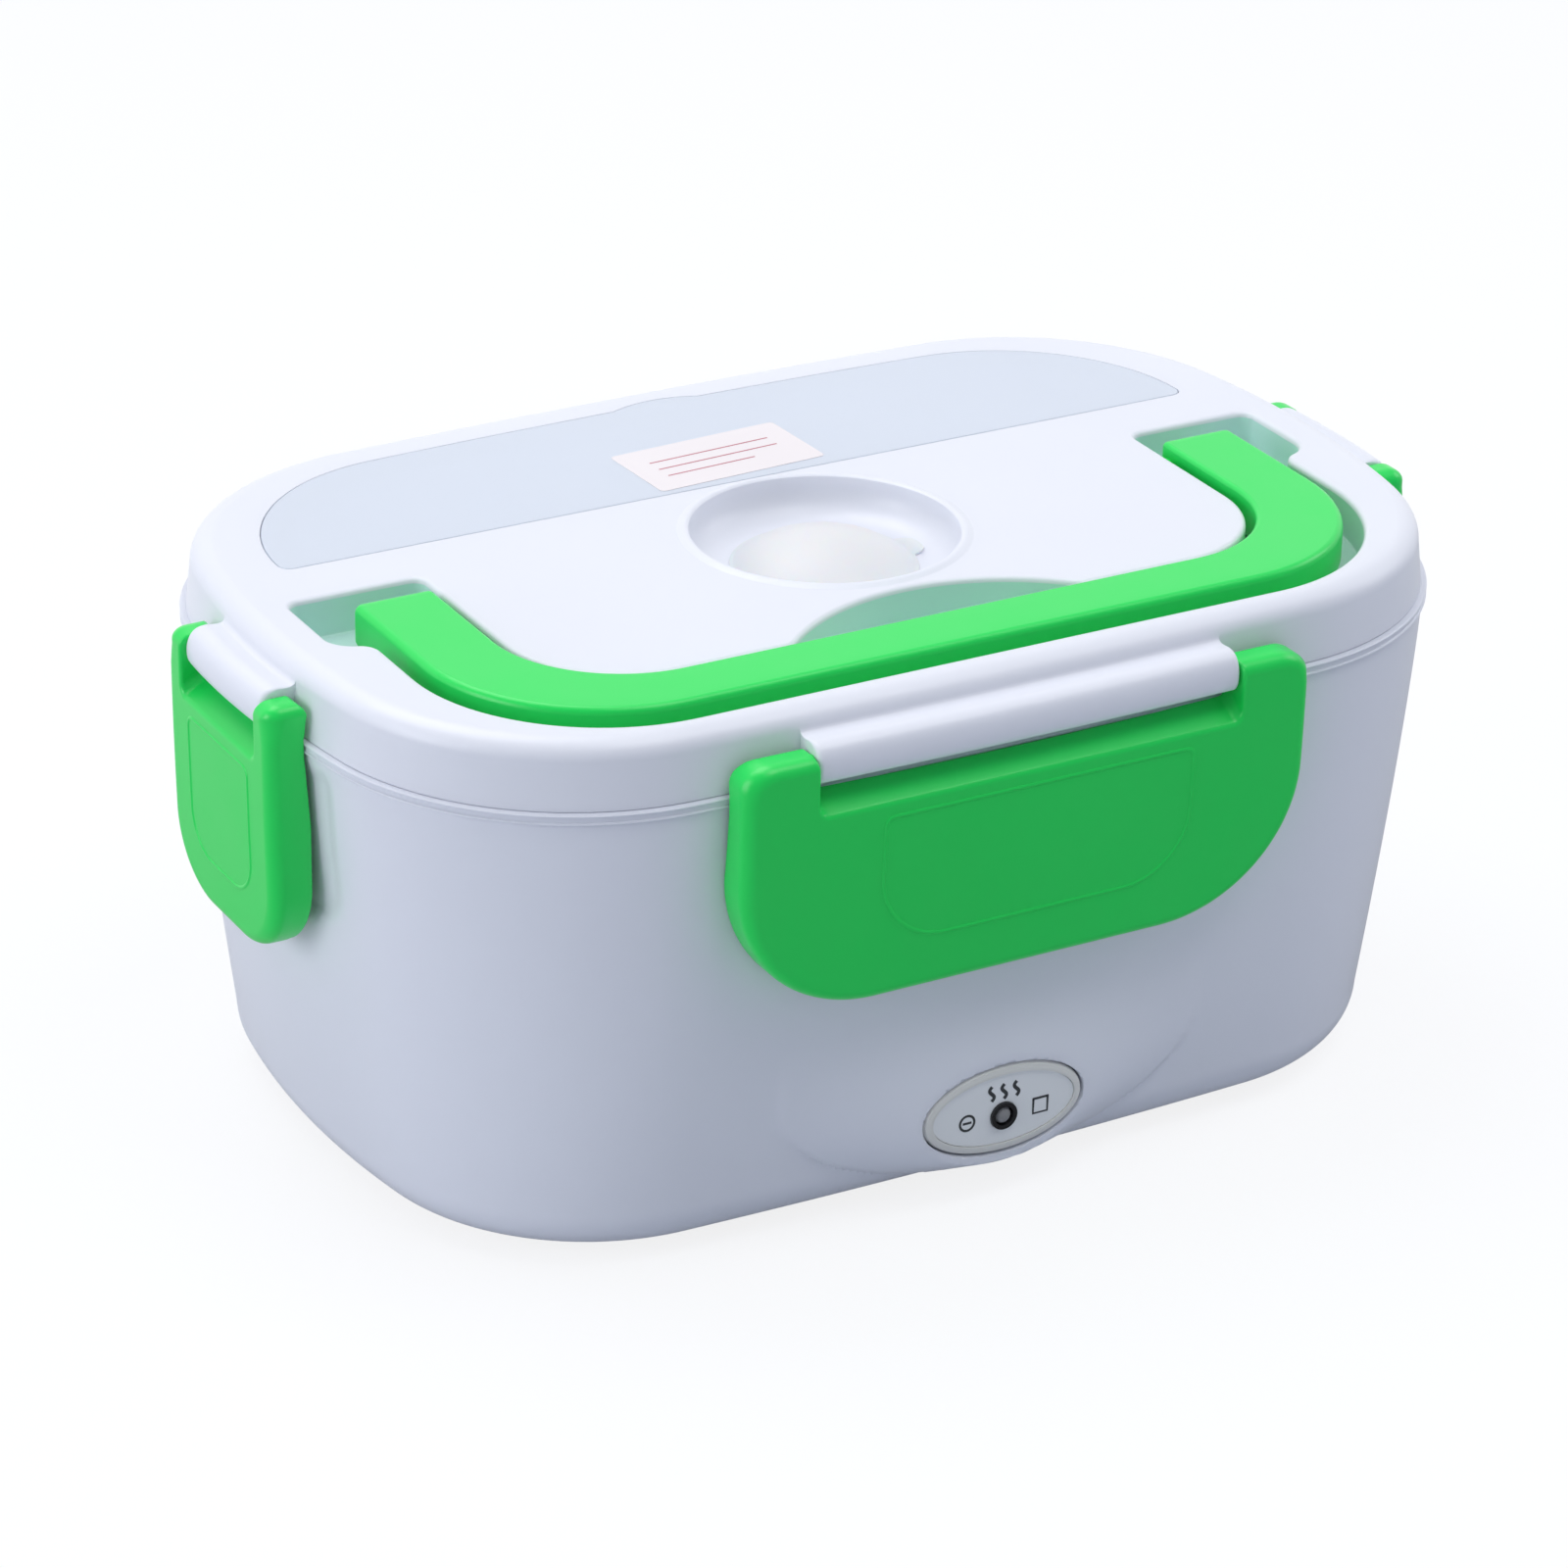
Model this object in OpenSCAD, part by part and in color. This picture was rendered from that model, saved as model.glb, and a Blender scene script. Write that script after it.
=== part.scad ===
// Electric lunch box: a heated body, a removable food tray with a side cup, and a lift-off lid
// held by four latches, with a folding carry handle, a vent plug and a spoon compartment.
// Millimetres. Origin under the middle of the box at floor level, +X to the right, +Y to the
// back, +Z up. The lamp panel and the bar of the folded handle are at the front (-Y).

/* [Overall] */
// Length of the rim of the body, left to right
body_length = 227; // [205:1:290]
// Width of the rim of the body, front to back
body_width = 149; // [135:1:190]
// Height of the top of the body's rim above the floor
body_height = 92.6; // [78:0.1:130]
// Height of the lid above its lower edge
lid_height = 12.1; // [12:0.1:18]
// Corner radius of the rim in plan
corner_radius = 50.4; // [40:0.1:56]

/* [Walls] */
// Wall thickness of the outer shell
wall = 2.2; // [1.6:0.1:3]
// Wall thickness of the chamber
liner_wall = 1.8; // [1.4:0.1:2.4]
// Thickness of the lid's top
deck = 2; // [1.6:0.1:2.6]
// How much further in the long sides are at the bottom than at the rim
draft = 4.8; // [2:0.1:6]
// How much further in again the short sides are at the bottom
end_draft = 3.2; // [0:0.1:3.4]

/* [Chamber] */
// Height of the chamber floor's underside above the floor
floor_height = 29.6; // [26:0.1:36]
// Radius of the round opening for the heating plate
plate_radius = 40; // [30:1:46]
// Distance of the tray's divider to the right of the middle
divider_x = 31; // [10:1:45]

/* [Lid top] */
// Distance of the spoon compartment's straight edge behind the middle
spoon_edge = 22.2; // [20:0.1:30]
// Radius of the vent dish
dish_radius = 24.9; // [22:0.1:27]
// Distance between the outer faces of the handle's arms
handle_span = 184.6; // [165:0.1:195]
// Width of each handle arm
arm_width = 15.3; // [11:0.1:17]
// Thickness of the handle
handle_thickness = 8; // [6:0.1:8.4]

/* [Latches] */
// Length of the front and back latches
latch_length = 115; // [90:1:120]
// Height of all four latches
latch_height = 52; // [42:1:60]
// Length of the left and right latches
side_latch_length = 43; // [36:1:56]

/* [Hidden] */
$fn = 96;
bow_long = 1.2;
bow_short = 1.9;
R = corner_radius;
core_x = body_length / 2 - R - bow_short;
core_y = body_width / 2 - R - bow_long;
rim_z = body_height;
lid_low = rim_z + 0.3;
top_z = lid_low + lid_height;
band = 2;
low_round = 9.5;
base_z = 1.5;
low_z = base_z + low_round;
part_angle = 53;
half_x = body_length / 2;
half_y = body_width / 2;
lid_round = 3.5;
tub = 1.4;
recess_z = top_z - 8;
liner_top = recess_z - tub - 0.4;
floor_top = floor_height + liner_wall;
plate_top = floor_top + 0.6;
heater_low = floor_height - 5.5;
// Handle
arm_out = handle_span / 2;
arm_in = arm_out - arm_width;
bar_out = half_y - 13;
bar_in = bar_out - 12.8;
handle_top = top_z + 1.2;
handle_low = handle_top - handle_thickness;
swing_y = -2;
swing_z = top_z - 3.6;
gap_in = 1.8;
gap_out = 2.8;
pocket_out = arm_out + 9.4;
pocket_back = 8.9;
pocket_front = -13;
// Spoon compartment
ledge = 1.7;
notch_y = half_y - 31.3;
notch_r = 22;
liner_edge = wall + 2;
// Latches: distances of the pivot and the face from the rim
pivot_out = 2.1;
pivot_z = top_z - 7.4;
face_out = 6.1;
notch_low = 8.6;
lug_r = 3.5;
ear = 14.5;
side_ear = 6;
rib_out = 1.4;
rib_z = rim_z - 12.6;
rib_h = 2.6;
rib_long = 30;
rib_short = 10;
rib_gap = 0.3;
// Vent
vent_y = -5.4;
dish_z = top_z - 7;
dome_r = 17.5;
dome_h = 6.3;
// Lamp
lamp_y = -(half_y - 0.2);
lamp_z = 18.2;
// Inlet
inlet_y = half_y - 5.9;
inlet_z = 16.4;
pin_back = 16;

// Which node to draw

// One quarter of the plan outline, from the middle of the long side to the middle of the
// short side: two bowed sides joined by an arc of radius r. The short side moves in by e.
function quarter(r, e) =
    let (nl = 5, nc = 10, ns = 3,
         cx = core_x - e,
         a1 = atan2(1, 2 * bow_long / cx),
         a0 = atan2(2 * bow_short / core_y, 1))
    concat(
        [for (i = [0 : nl - 1])
            let (x = cx * i / nl,
                 s = 2 * bow_long * x / (cx * cx),
                 n = sqrt(1 + s * s))
            [x + r * s / n, core_y + bow_long * (1 - pow(x / cx, 2)) + r / n]],
        [for (i = [0 : nc])
            let (a = a1 + (a0 - a1) * i / nc)
            [cx + r * cos(a), core_y + r * sin(a)]],
        [for (i = [1 : ns])
            let (y = core_y * (1 - i / ns),
                 s = 2 * bow_short * y / (core_y * core_y),
                 n = sqrt(1 + s * s))
            [cx + bow_short * (1 - pow(y / core_y, 2)) + r / n, y + r * s / n]]);

function outline(r, e = 0) =
    let (q = quarter(r, e), n = len(q))
    concat(
        [for (i = [0 : n - 2]) q[i]],
        [for (i = [n - 1 : -1 : 1]) [q[i][0], -q[i][1]]],
        [for (i = [0 : n - 2]) [-q[i][0], -q[i][1]]],
        [for (i = [n - 1 : -1 : 1]) [-q[i][0], q[i][1]]]);

// A solid through a stack of outlines, each given as [radius, height], from the lowest up, with
// how far its short sides move in as a third number.
module loft(levels) {
    n = len(outline(R));
    m = len(levels);
    points = [for (l = levels) for (p = outline(l[0], is_undef(l[2]) ? 0 : l[2]))
        [p[0], p[1], l[1]]];
    sides = [for (k = [0 : m - 2]) for (i = [0 : n - 1])
        let (j = (i + 1) % n)
        for (t = [[k * n + j, (k + 1) * n + j, (k + 1) * n + i],
                  [k * n + j, (k + 1) * n + i, k * n + i]]) t];
    low = [for (i = [n - 1 : -1 : 0]) i];
    high = [for (i = [0 : n - 1]) (m - 1) * n + i];
    polyhedron(points = points, faces = concat([low], sides, [high]), convexity = 6);
}

// A flat-sided slab and a ring of the plan outline.
module slab(r, z0, z1) {
    translate([0, 0, z0])
        linear_extrude(z1 - z0)
            polygon(outline(r));
}

module band_ring(r1, r0, z0, z1, e = 0) {
    translate([0, 0, z0])
        linear_extrude(z1 - z0)
            difference() {
                polygon(outline(r1, e));
                polygon(outline(r0, e));
            }
}

function taper(z) =
    let (t = (z - low_z) / (rim_z - band - low_z))
    pow(max(0, 1 - t), 1.3);
function wall_r(z) = R - 0.7 - draft * taper(z);
function end_in(z) = end_draft * taper(max(z, low_z));

function round_r(a) = wall_r(low_z) - low_round * (1 - cos(a));
function round_z(a) = low_z - low_round * sin(a);

function oval(a, b, n) = [for (i = [0 : n - 1]) [a * cos(360 * i / n), b * sin(360 * i / n)]];

// A stack of ovals along -Y: each level is [half width, half height, y, height of its middle].
module oval_stack(levels, n) {
    m = len(levels);
    points = [for (l = levels) for (p = oval(l[0], l[1], n)) [p[0], l[2], p[1] + l[3]]];
    sides = [for (k = [0 : m - 2]) for (i = [0 : n - 1])
        let (j = (i + 1) % n)
        for (t = [[k * n + i, (k + 1) * n + i, (k + 1) * n + j],
                  [k * n + i, (k + 1) * n + j, k * n + j]]) t];
    near = [for (i = [0 : n - 1]) i];
    far = [for (i = [n - 1 : -1 : 0]) (m - 1) * n + i];
    polyhedron(points = points, faces = concat([near], sides, [far]), convexity = 4);
}

module oval_plate(a, b, y0, y1) {
    translate([0, y1, 0])
        rotate([90, 0, 0])
            linear_extrude(y1 - y0)
                polygon(oval(a, b, 64));
}

module box(x0, x1, y0, y1, z0, z1) {
    translate([x0, y0, z0])
        cube([x1 - x0, y1 - y0, z1 - z0]);
}

module rod_x(r, x0, x1) {
    translate([x0, 0, 0])
        rotate([0, 90, 0])
            cylinder(r = r, h = x1 - x0);
}

module rod_y(r, y0, y1) {
    translate([0, y0, 0])
        rotate([-90, 0, 0])
            cylinder(r = r, h = y1 - y0);
}

module at_bosses() {
    for (x = [-1, 1], y = [-1, 1])
        translate([x * (half_x - 43), y * (half_y - 39), 0])
            children();
}

module at_feet() {
    for (x = [-1, 1], y = [-1, 1])
        translate([x * (half_x - 56), y * (half_y - 28), 0])
            children();
}

// A closed plan with two rounded front corners.
module front_round(x, y0, y1, r) {
    translate([-x + r, y0])
        square([2 * x - 2 * r, y1 - y0]);
    translate([-x, y0 + r])
        square([2 * x, y1 - y0 - r]);
    for (s = [-1, 1])
        translate([s * (x - r), y0 + r])
            circle(r = r);
}

module all_round(x0, x1, y0, y1, r) {
    translate([x0 + r, y0])
        square([x1 - x0 - 2 * r, y1 - y0]);
    translate([x0, y0 + r])
        square([x1 - x0, y1 - y0 - 2 * r]);
    for (x = [x0 + r, x1 - r], y = [y0 + r, y1 - r])
        translate([x, y])
            circle(r = r);
}

// The body

module pod() {
    n = 7;
    levels = concat([[31, 18, lamp_y + 9.4, 22.4]],
                    [for (i = [0 : n])
                        let (t = i / n)
                        [29.5 - 11.6 * t, 16.7 - 5.9 * t, lamp_y + 5.2 * (1 - sin(90 * t)),
                         21.4 - 3.2 * t]]);
    oval_stack(levels, 48);
}

module outer_shell() {
    angles = [part_angle, 40, 27, 13];
    heights = [low_z, low_z + (rim_z - low_z) * 0.24, low_z + (rim_z - low_z) * 0.55,
               rim_z - band];
    color([0.93, 0.94, 0.97])
    difference() {
        union() {
            loft(concat([for (a = angles) [round_r(a), round_z(a), end_draft]],
                        [for (z = heights) [wall_r(z), z, end_in(z)]]));
            pod();
            for (s = [-1, 1]) {
                scale([1, s])
                    box(-rib_long, rib_long, half_y - 4, half_y + rib_out, rib_z, rib_z + rib_h);
                scale([s, 1])
                    box(half_x - 4, half_x + rib_out, -rib_short, rib_short, rib_z,
                        rib_z + rib_h);
            }
        }
        loft(concat([[round_r(part_angle) - wall - 1, round_z(part_angle) - 1, end_draft]],
                    [for (a = angles) [round_r(a) - wall, round_z(a), end_draft]],
                    [for (z = heights) [wall_r(z) - wall, z, end_in(z)]],
                    [[R - 0.7 - wall, rim_z]]));
        translate([0, 0, lamp_z])
            oval_plate(16.9, 9, lamp_y - 3, -half_y + 12);
        box(-11.2, 11.2, half_y - 14, half_y, inlet_z - 7.2, inlet_z + 7.2);
        box(-14.2, 14.2, inlet_y, half_y, inlet_z - 9.7, inlet_z + 9.7);
    }
}

module chamber_liner() {
    z0 = floor_height;
    zt = rim_z - band;
    color([0.9, 0.91, 0.94])
    difference() {
        union() {
            loft([[R - 0.5, zt], [R, zt + 0.5], [R, rim_z - 0.5], [R - 0.5, rim_z]]);
            loft([[R - 14, z0], [R - 10.6, z0 + 1.4], [R - 8.6, z0 + 5], [R - 5.6, zt],
                  [R - 5.6, zt + 0.5]]);
            band_ring(R - 3.4, R - 4.6, zt - 2.6, zt + 0.4);
            at_bosses()
                translate([0, 0, round_z(part_angle)])
                    cylinder(r = 4, h = z0 + 1 - round_z(part_angle));
            for (x = [-52, 52])
                translate([x, 0, 20])
                    cylinder(r = 3.5, h = z0 - 19);
        }
        loft([[R - 16, floor_top], [R - 12.4, floor_top + 1.4], [R - 10.4, floor_top + 5],
              [R - 7.4, zt], [R - 7.4, rim_z + 1]]);
        translate([0, 0, z0 - 1])
            cylinder(r = plate_radius, h = 6);
        at_bosses()
            cylinder(r = 1.3, h = 16);
        for (x = [-52, 52])
            translate([x, 0, 19])
                cylinder(r = 1.1, h = 8);
    }
}

module heating_plate() {
    color([0.75, 0.76, 0.78])
    union() {
        translate([0, 0, floor_height - 2.8])
            cylinder(r = plate_radius + 5, h = 2);
        translate([0, 0, floor_height - 2])
            cylinder(r = plate_radius - 0.4, h = plate_top - 0.8 - floor_height + 2);
        translate([0, 0, plate_top - 0.8])
            cylinder(r1 = plate_radius - 0.4, r2 = plate_radius - 1.2, h = 0.8);
    }
}

module plate_seal() {
    color([0.85, 0.32, 0.2])
    translate([0, 0, floor_height - 0.8])
        difference() {
            cylinder(r = plate_radius + 5, h = 0.8);
            translate([0, 0, -1])
                cylinder(r = plate_radius - 0.4, h = 3);
        }
}

module ptc_heater() {
    z = floor_height - 2.8;
    color([0.8, 0.78, 0.7])
    union() {
        box(-30, 30, -12, 12, z - 5, z);
        box(-33, -30, -9, -5, z - 3.2, z - 2.2);
        box(-33, -30, 5, 9, z - 3.2, z - 2.2);
    }
}

module insulation_pad() {
    z = floor_height - 7.8;
    color([0.88, 0.85, 0.75])
    box(-31, 31, -13, 13, 20, z);
}

module heater_bracket() {
    color([0.7, 0.72, 0.74])
    difference() {
        box(-58, 58, -8, 8, 18.8, 20);
        for (x = [-52, 52])
            translate([x, 0, 18])
                cylinder(r = 1.7, h = 3);
    }
}

module bracket_screws() {
    color([0.6, 0.61, 0.63])
    for (x = [-52, 52])
        translate([x, 0, 0])
            union() {
                translate([0, 0, 17.3])
                    cylinder(r = 3, h = 1.5);
                translate([0, 0, 18.5])
                    cylinder(r = 1.1, h = 7);
            }
}

module thermostat() {
    z = floor_height - 2.8;
    color([0.2, 0.2, 0.22])
    translate([8, 26, 0])
        union() {
            translate([0, 0, z - 5])
                cylinder(r = 8, h = 5);
            translate([-12, -3, z - 1])
                cube([24, 6, 1]);
            translate([-1, 4, z - 9])
                cube([2, 3, 5]);
            translate([-1, -7, z - 9])
                cube([2, 3, 5]);
        }
}

module thermal_fuse() {
    z = floor_height - 2.8;
    color([0.85, 0.85, 0.8])
    translate([-24, 26, z - 2.2])
        union() {
            rod_x(2.2, -7, 7);
            rod_x(0.6, -10, 10);
        }
}

// A lead through a list of points: straight eight-sided lengths that overlap at the bends.
module lead(points, r) {
    n = len(points) - 1;
    union() {
        for (i = [0 : n - 1]) {
            a = points[i];
            b = points[i + 1];
            d = b - a;
            l = norm(d);
            before = i > 0 ? 0.45 * r : 0;
            after = i < n - 1 ? 0.45 * r : 0;
            translate(a)
                rotate([0, acos(d[2] / l), atan2(d[1], d[0])])
                    translate([0, 0, -before])
                        cylinder(r = r, h = l + before + after, $fn = 8);
        }
    }
}

module live_lead() {
    color([0.55, 0.25, 0.15])
    lead([[-4, inlet_y - pin_back, inlet_z], [-4, inlet_y - 24, inlet_z],
          [-34, 40, 14], [-38, 26, 17], [-38, 12, heater_low - 2.6],
          [-33.9, 7, heater_low]], 0.9);
}

module neutral_lead() {
    color([0.2, 0.35, 0.75])
    lead([[4, inlet_y - pin_back, inlet_z], [4, inlet_y - 24, inlet_z], [24, 38, 12],
          [40, 20, 12], [40, -18, 12], [-20, -24, 13], [-38, -20, 17],
          [-38, -12, heater_low - 2.6], [-33.9, -7, heater_low]], 0.9);
}

module lamp_lead() {
    color([0.85, 0.85, 0.85])
    lead([[2, lamp_y + 8.8, lamp_z + 1], [6, -50, 13], [12, -30, 9], [10, 10, 9],
          [9, 30, 10], [8, 31.6, 15.5]], 0.7);
}

module inlet_socket() {
    color([0.12, 0.12, 0.13])
    difference() {
        union() {
            box(-11, 11, inlet_y - 14, inlet_y + 0.5, inlet_z - 7, inlet_z + 7);
            box(-14, 14, inlet_y, inlet_y + 2.8, inlet_z - 9.5, inlet_z + 9.5);
        }
        translate([0, inlet_y - 11, inlet_z])
            union() {
                translate([-4, 0, 0])
                    rod_y(4.4, 0, 20);
                translate([4, 0, 0])
                    rod_y(4.4, 0, 20);
                box(-4, 4, 0, 20, -2.9, 2.9);
            }
        for (x = [-4, 4])
            translate([x, 0, inlet_z])
                rod_y(1.2, inlet_y - 20, inlet_y);
    }
}

module inlet_pins() {
    color([0.8, 0.68, 0.4])
    for (x = [-4, 4])
        translate([x, 0, inlet_z])
            rod_y(1.2, inlet_y - pin_back, inlet_y - 1);
}

module lamp_bezel() {
    color([0.72, 0.74, 0.77])
    translate([0, 0, lamp_z])
        difference() {
            union() {
                oval_plate(16.6, 8.7, lamp_y + 0.6, lamp_y + 4);
                oval_stack([[16.6, 8.7, lamp_y + 0.6, 0], [16.2, 8.3, lamp_y - 0.1, 0],
                            [15.4, 7.5, lamp_y - 0.3, 0]], 64);
            }
            oval_plate(14.9, 7, lamp_y - 2, lamp_y + 0.4);
            translate([0, 0, -1.4])
                rod_y(2.75, lamp_y - 2, lamp_y + 6);
        }
}

module lamp_panel() {
    color([0.66, 0.69, 0.74])
    translate([0, 0, lamp_z])
        difference() {
            oval_plate(14.8, 6.9, lamp_y, lamp_y + 0.4);
            translate([0, 0, -1.4])
                rod_y(2.75, lamp_y - 2, lamp_y + 6);
        }
}

module lamp_collar() {
    color([0.08, 0.08, 0.09])
    translate([0, 0, lamp_z - 1.4])
        difference() {
            rod_y(2.7, lamp_y - 0.5, lamp_y + 5);
            rod_y(1.9, lamp_y - 2, lamp_y + 7);
        }
}

module lamp_lens() {
    color([0.6, 0.6, 0.6])
    translate([0, lamp_y + 1, lamp_z - 1.4])
        union() {
            rod_y(1.85, 0, 5.6);
            intersection() {
                sphere(r = 1.85);
                translate([-3, -3, -3])
                    cube([6, 3.2, 6]);
            }
        }
}

module lamp_board() {
    color([0.1, 0.4, 0.2])
    translate([0, 0, lamp_z])
        union() {
            box(-9, 9, lamp_y + 6.6, lamp_y + 8.2, -6, 5);
            box(-9, -7, lamp_y + 4, lamp_y + 7, -2.6, 0);
            box(7, 9, lamp_y + 4, lamp_y + 7, -2.6, 0);
        }
}

module base_cover() {
    zp = round_z(part_angle);
    color([0.9, 0.91, 0.94])
    difference() {
        union() {
            loft([for (a = [90, 77, 65, part_angle]) [round_r(a), round_z(a), end_draft]]);
            band_ring(round_r(part_angle) - wall - 0.5, round_r(part_angle) - wall - 2, zp - 0.4,
                      zp + 2.4, end_draft);
        }
        at_bosses()
            union() {
                translate([0, 0, -1])
                    cylinder(r = 1.7, h = 8);
                cylinder(r = 3.4, h = base_z + 0.8);
            }
        at_feet()
            cylinder(r = 6.1, h = base_z + 0.6);
        for (x = [-3 : 3])
            box(x * 9 - 1.2, x * 9 + 1.2, -9, 9, 0, 8);
    }
}

module base_screws() {
    color([0.6, 0.61, 0.63])
    at_bosses()
        union() {
            translate([0, 0, base_z])
                cylinder(r = 3.2, h = 0.8);
            translate([0, 0, base_z + 0.4])
                cylinder(r = 1.3, h = 13);
        }
}

module base_feet() {
    color([0.25, 0.25, 0.27])
    at_feet()
        union() {
            cylinder(r1 = 5, r2 = 6, h = 0.8);
            translate([0, 0, 0.8])
                cylinder(r = 6, h = base_z + 0.6 - 0.8);
        }
}

// The food containers

module food_tray() {
    zt = rim_z - 6.6;
    z0 = plate_top;
    color([0.86, 0.88, 0.93])
    difference() {
        union() {
            loft([[R - 18, z0], [R - 14, z0 + 1.4], [R - 11.4, z0 + 5], [R - 8.9, zt - 1.6]]);
            slab(R - 8.1, zt - 1.6, zt);
        }
        difference() {
            loft([[R - 20, z0 + 1.4], [R - 15.6, z0 + 2.8], [R - 12.7, z0 + 6.4],
                  [R - 10.2, zt - 1.6], [R - 10.2, zt + 1]]);
            box(divider_x - 0.7, divider_x + 0.7, -half_y, half_y, 0, zt - 2);
        }
    }
}

module side_cup() {
    zt = rim_z - 8.6;
    z0 = plate_top + 1.7;
    color([0.82, 0.93, 0.86])
    difference() {
        intersection() {
            loft([[R - 21, z0], [R - 17, z0 + 2], [R - 14, z0 + 7], [R - 11, zt]]);
            box(divider_x + 1.5, half_x, -half_y, half_y, 0, rim_z);
        }
        intersection() {
            loft([[R - 22.5, z0 + 1.2], [R - 18.4, z0 + 3.2], [R - 15.2, z0 + 7.4],
                  [R - 12.2, zt], [R - 12.2, zt + 1]]);
            box(divider_x + 2.7, half_x, -half_y, half_y, 0, rim_z);
        }
    }
}

module side_cup_lid() {
    zt = rim_z - 8.6;
    color([0.15, 0.75, 0.35])
    difference() {
        intersection() {
            union() {
                slab(R - 11, zt, zt + 1.2);
                band_ring(R - 12.6, R - 13.8, zt - 2.2, zt + 0.4);
            }
            box(divider_x + 1.5, half_x, -half_y, half_y, 0, rim_z);
        }
        box(divider_x + 0.5, divider_x + 3.1, -half_y, half_y, zt - 3, zt);
    }
    color([0.15, 0.75, 0.35])
    union() {
        box(divider_x + 3.1, divider_x + 4.3, -(core_y + 20), core_y + 20, zt - 2.2, zt + 0.4);
        translate([half_x - 44, 0, zt + 1])
            cylinder(r = 7, h = 1.4);
    }
}

// The lid

module spoon_plan(e) {
    r = half_y - 36.5;
    x = arm_out - 34.3;
    y = spoon_edge + 1.8;
    intersection() {
        union() {
            translate([-x, spoon_edge + e])
                square([2 * x, r - spoon_edge + y - 2 * e + 3]);
            for (s = [-1, 1])
                translate([s * x, y])
                    circle(r = r - e);
        }
        translate([0, y + r + 1.4 - e - 1400])
            circle(r = 1400, $fn = 400);
        translate([-200, spoon_edge + e])
            square([400, 200]);
    }
}

// The thumb notch behind the compartment, which a tab of the cover fills.
module spoon_notch(e) {
    intersection() {
        translate([0, notch_y])
            circle(r = notch_r - e);
        translate([-notch_r - 5, notch_y])
            square([2 * notch_r + 10, notch_r + 10]);
    }
}

module channel_plan() {
    difference() {
        union() {
            front_round(arm_out + gap_out, -(bar_out + 4), pocket_front + 4, 36);
            all_round(-pocket_out, -(arm_in - gap_in), pocket_front, pocket_back, 2.5);
            all_round(arm_in - gap_in, pocket_out, pocket_front, pocket_back, 2.5);
        }
        difference() {
            front_round(arm_in - gap_in, -(bar_in - gap_in), pocket_back + 1, 22.6);
            translate([0, -(bar_in + 27.3)])
                circle(r = 41.6);
        }
    }
}

// The handle's plan, e is taken off every side.
module handle_plan(e) {
    difference() {
        front_round(arm_out - e, -(bar_out - e), swing_y + 3.6 - e, 34.2 - e);
        front_round(arm_in + e, -(bar_in + e), swing_y + 10, 24.4 + e);
    }
}

module lug(x, hw) {
    translate([0, -(hw + pivot_out), pivot_z])
        union() {
            rod_x(lug_r, -x, x);
            box(-x, x, 0, 7, -lug_r, lug_r);
        }
}

module lug_bores(x, hw) {
    for (s = [-1, 1])
        translate([s * (x - 2), -(hw + pivot_out), pivot_z])
            rod_x(2.1, -3, 3);
}

lug_x = latch_length / 2 - ear - 0.3;
side_lug_x = side_latch_length / 2 - side_ear - 0.3;

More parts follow.
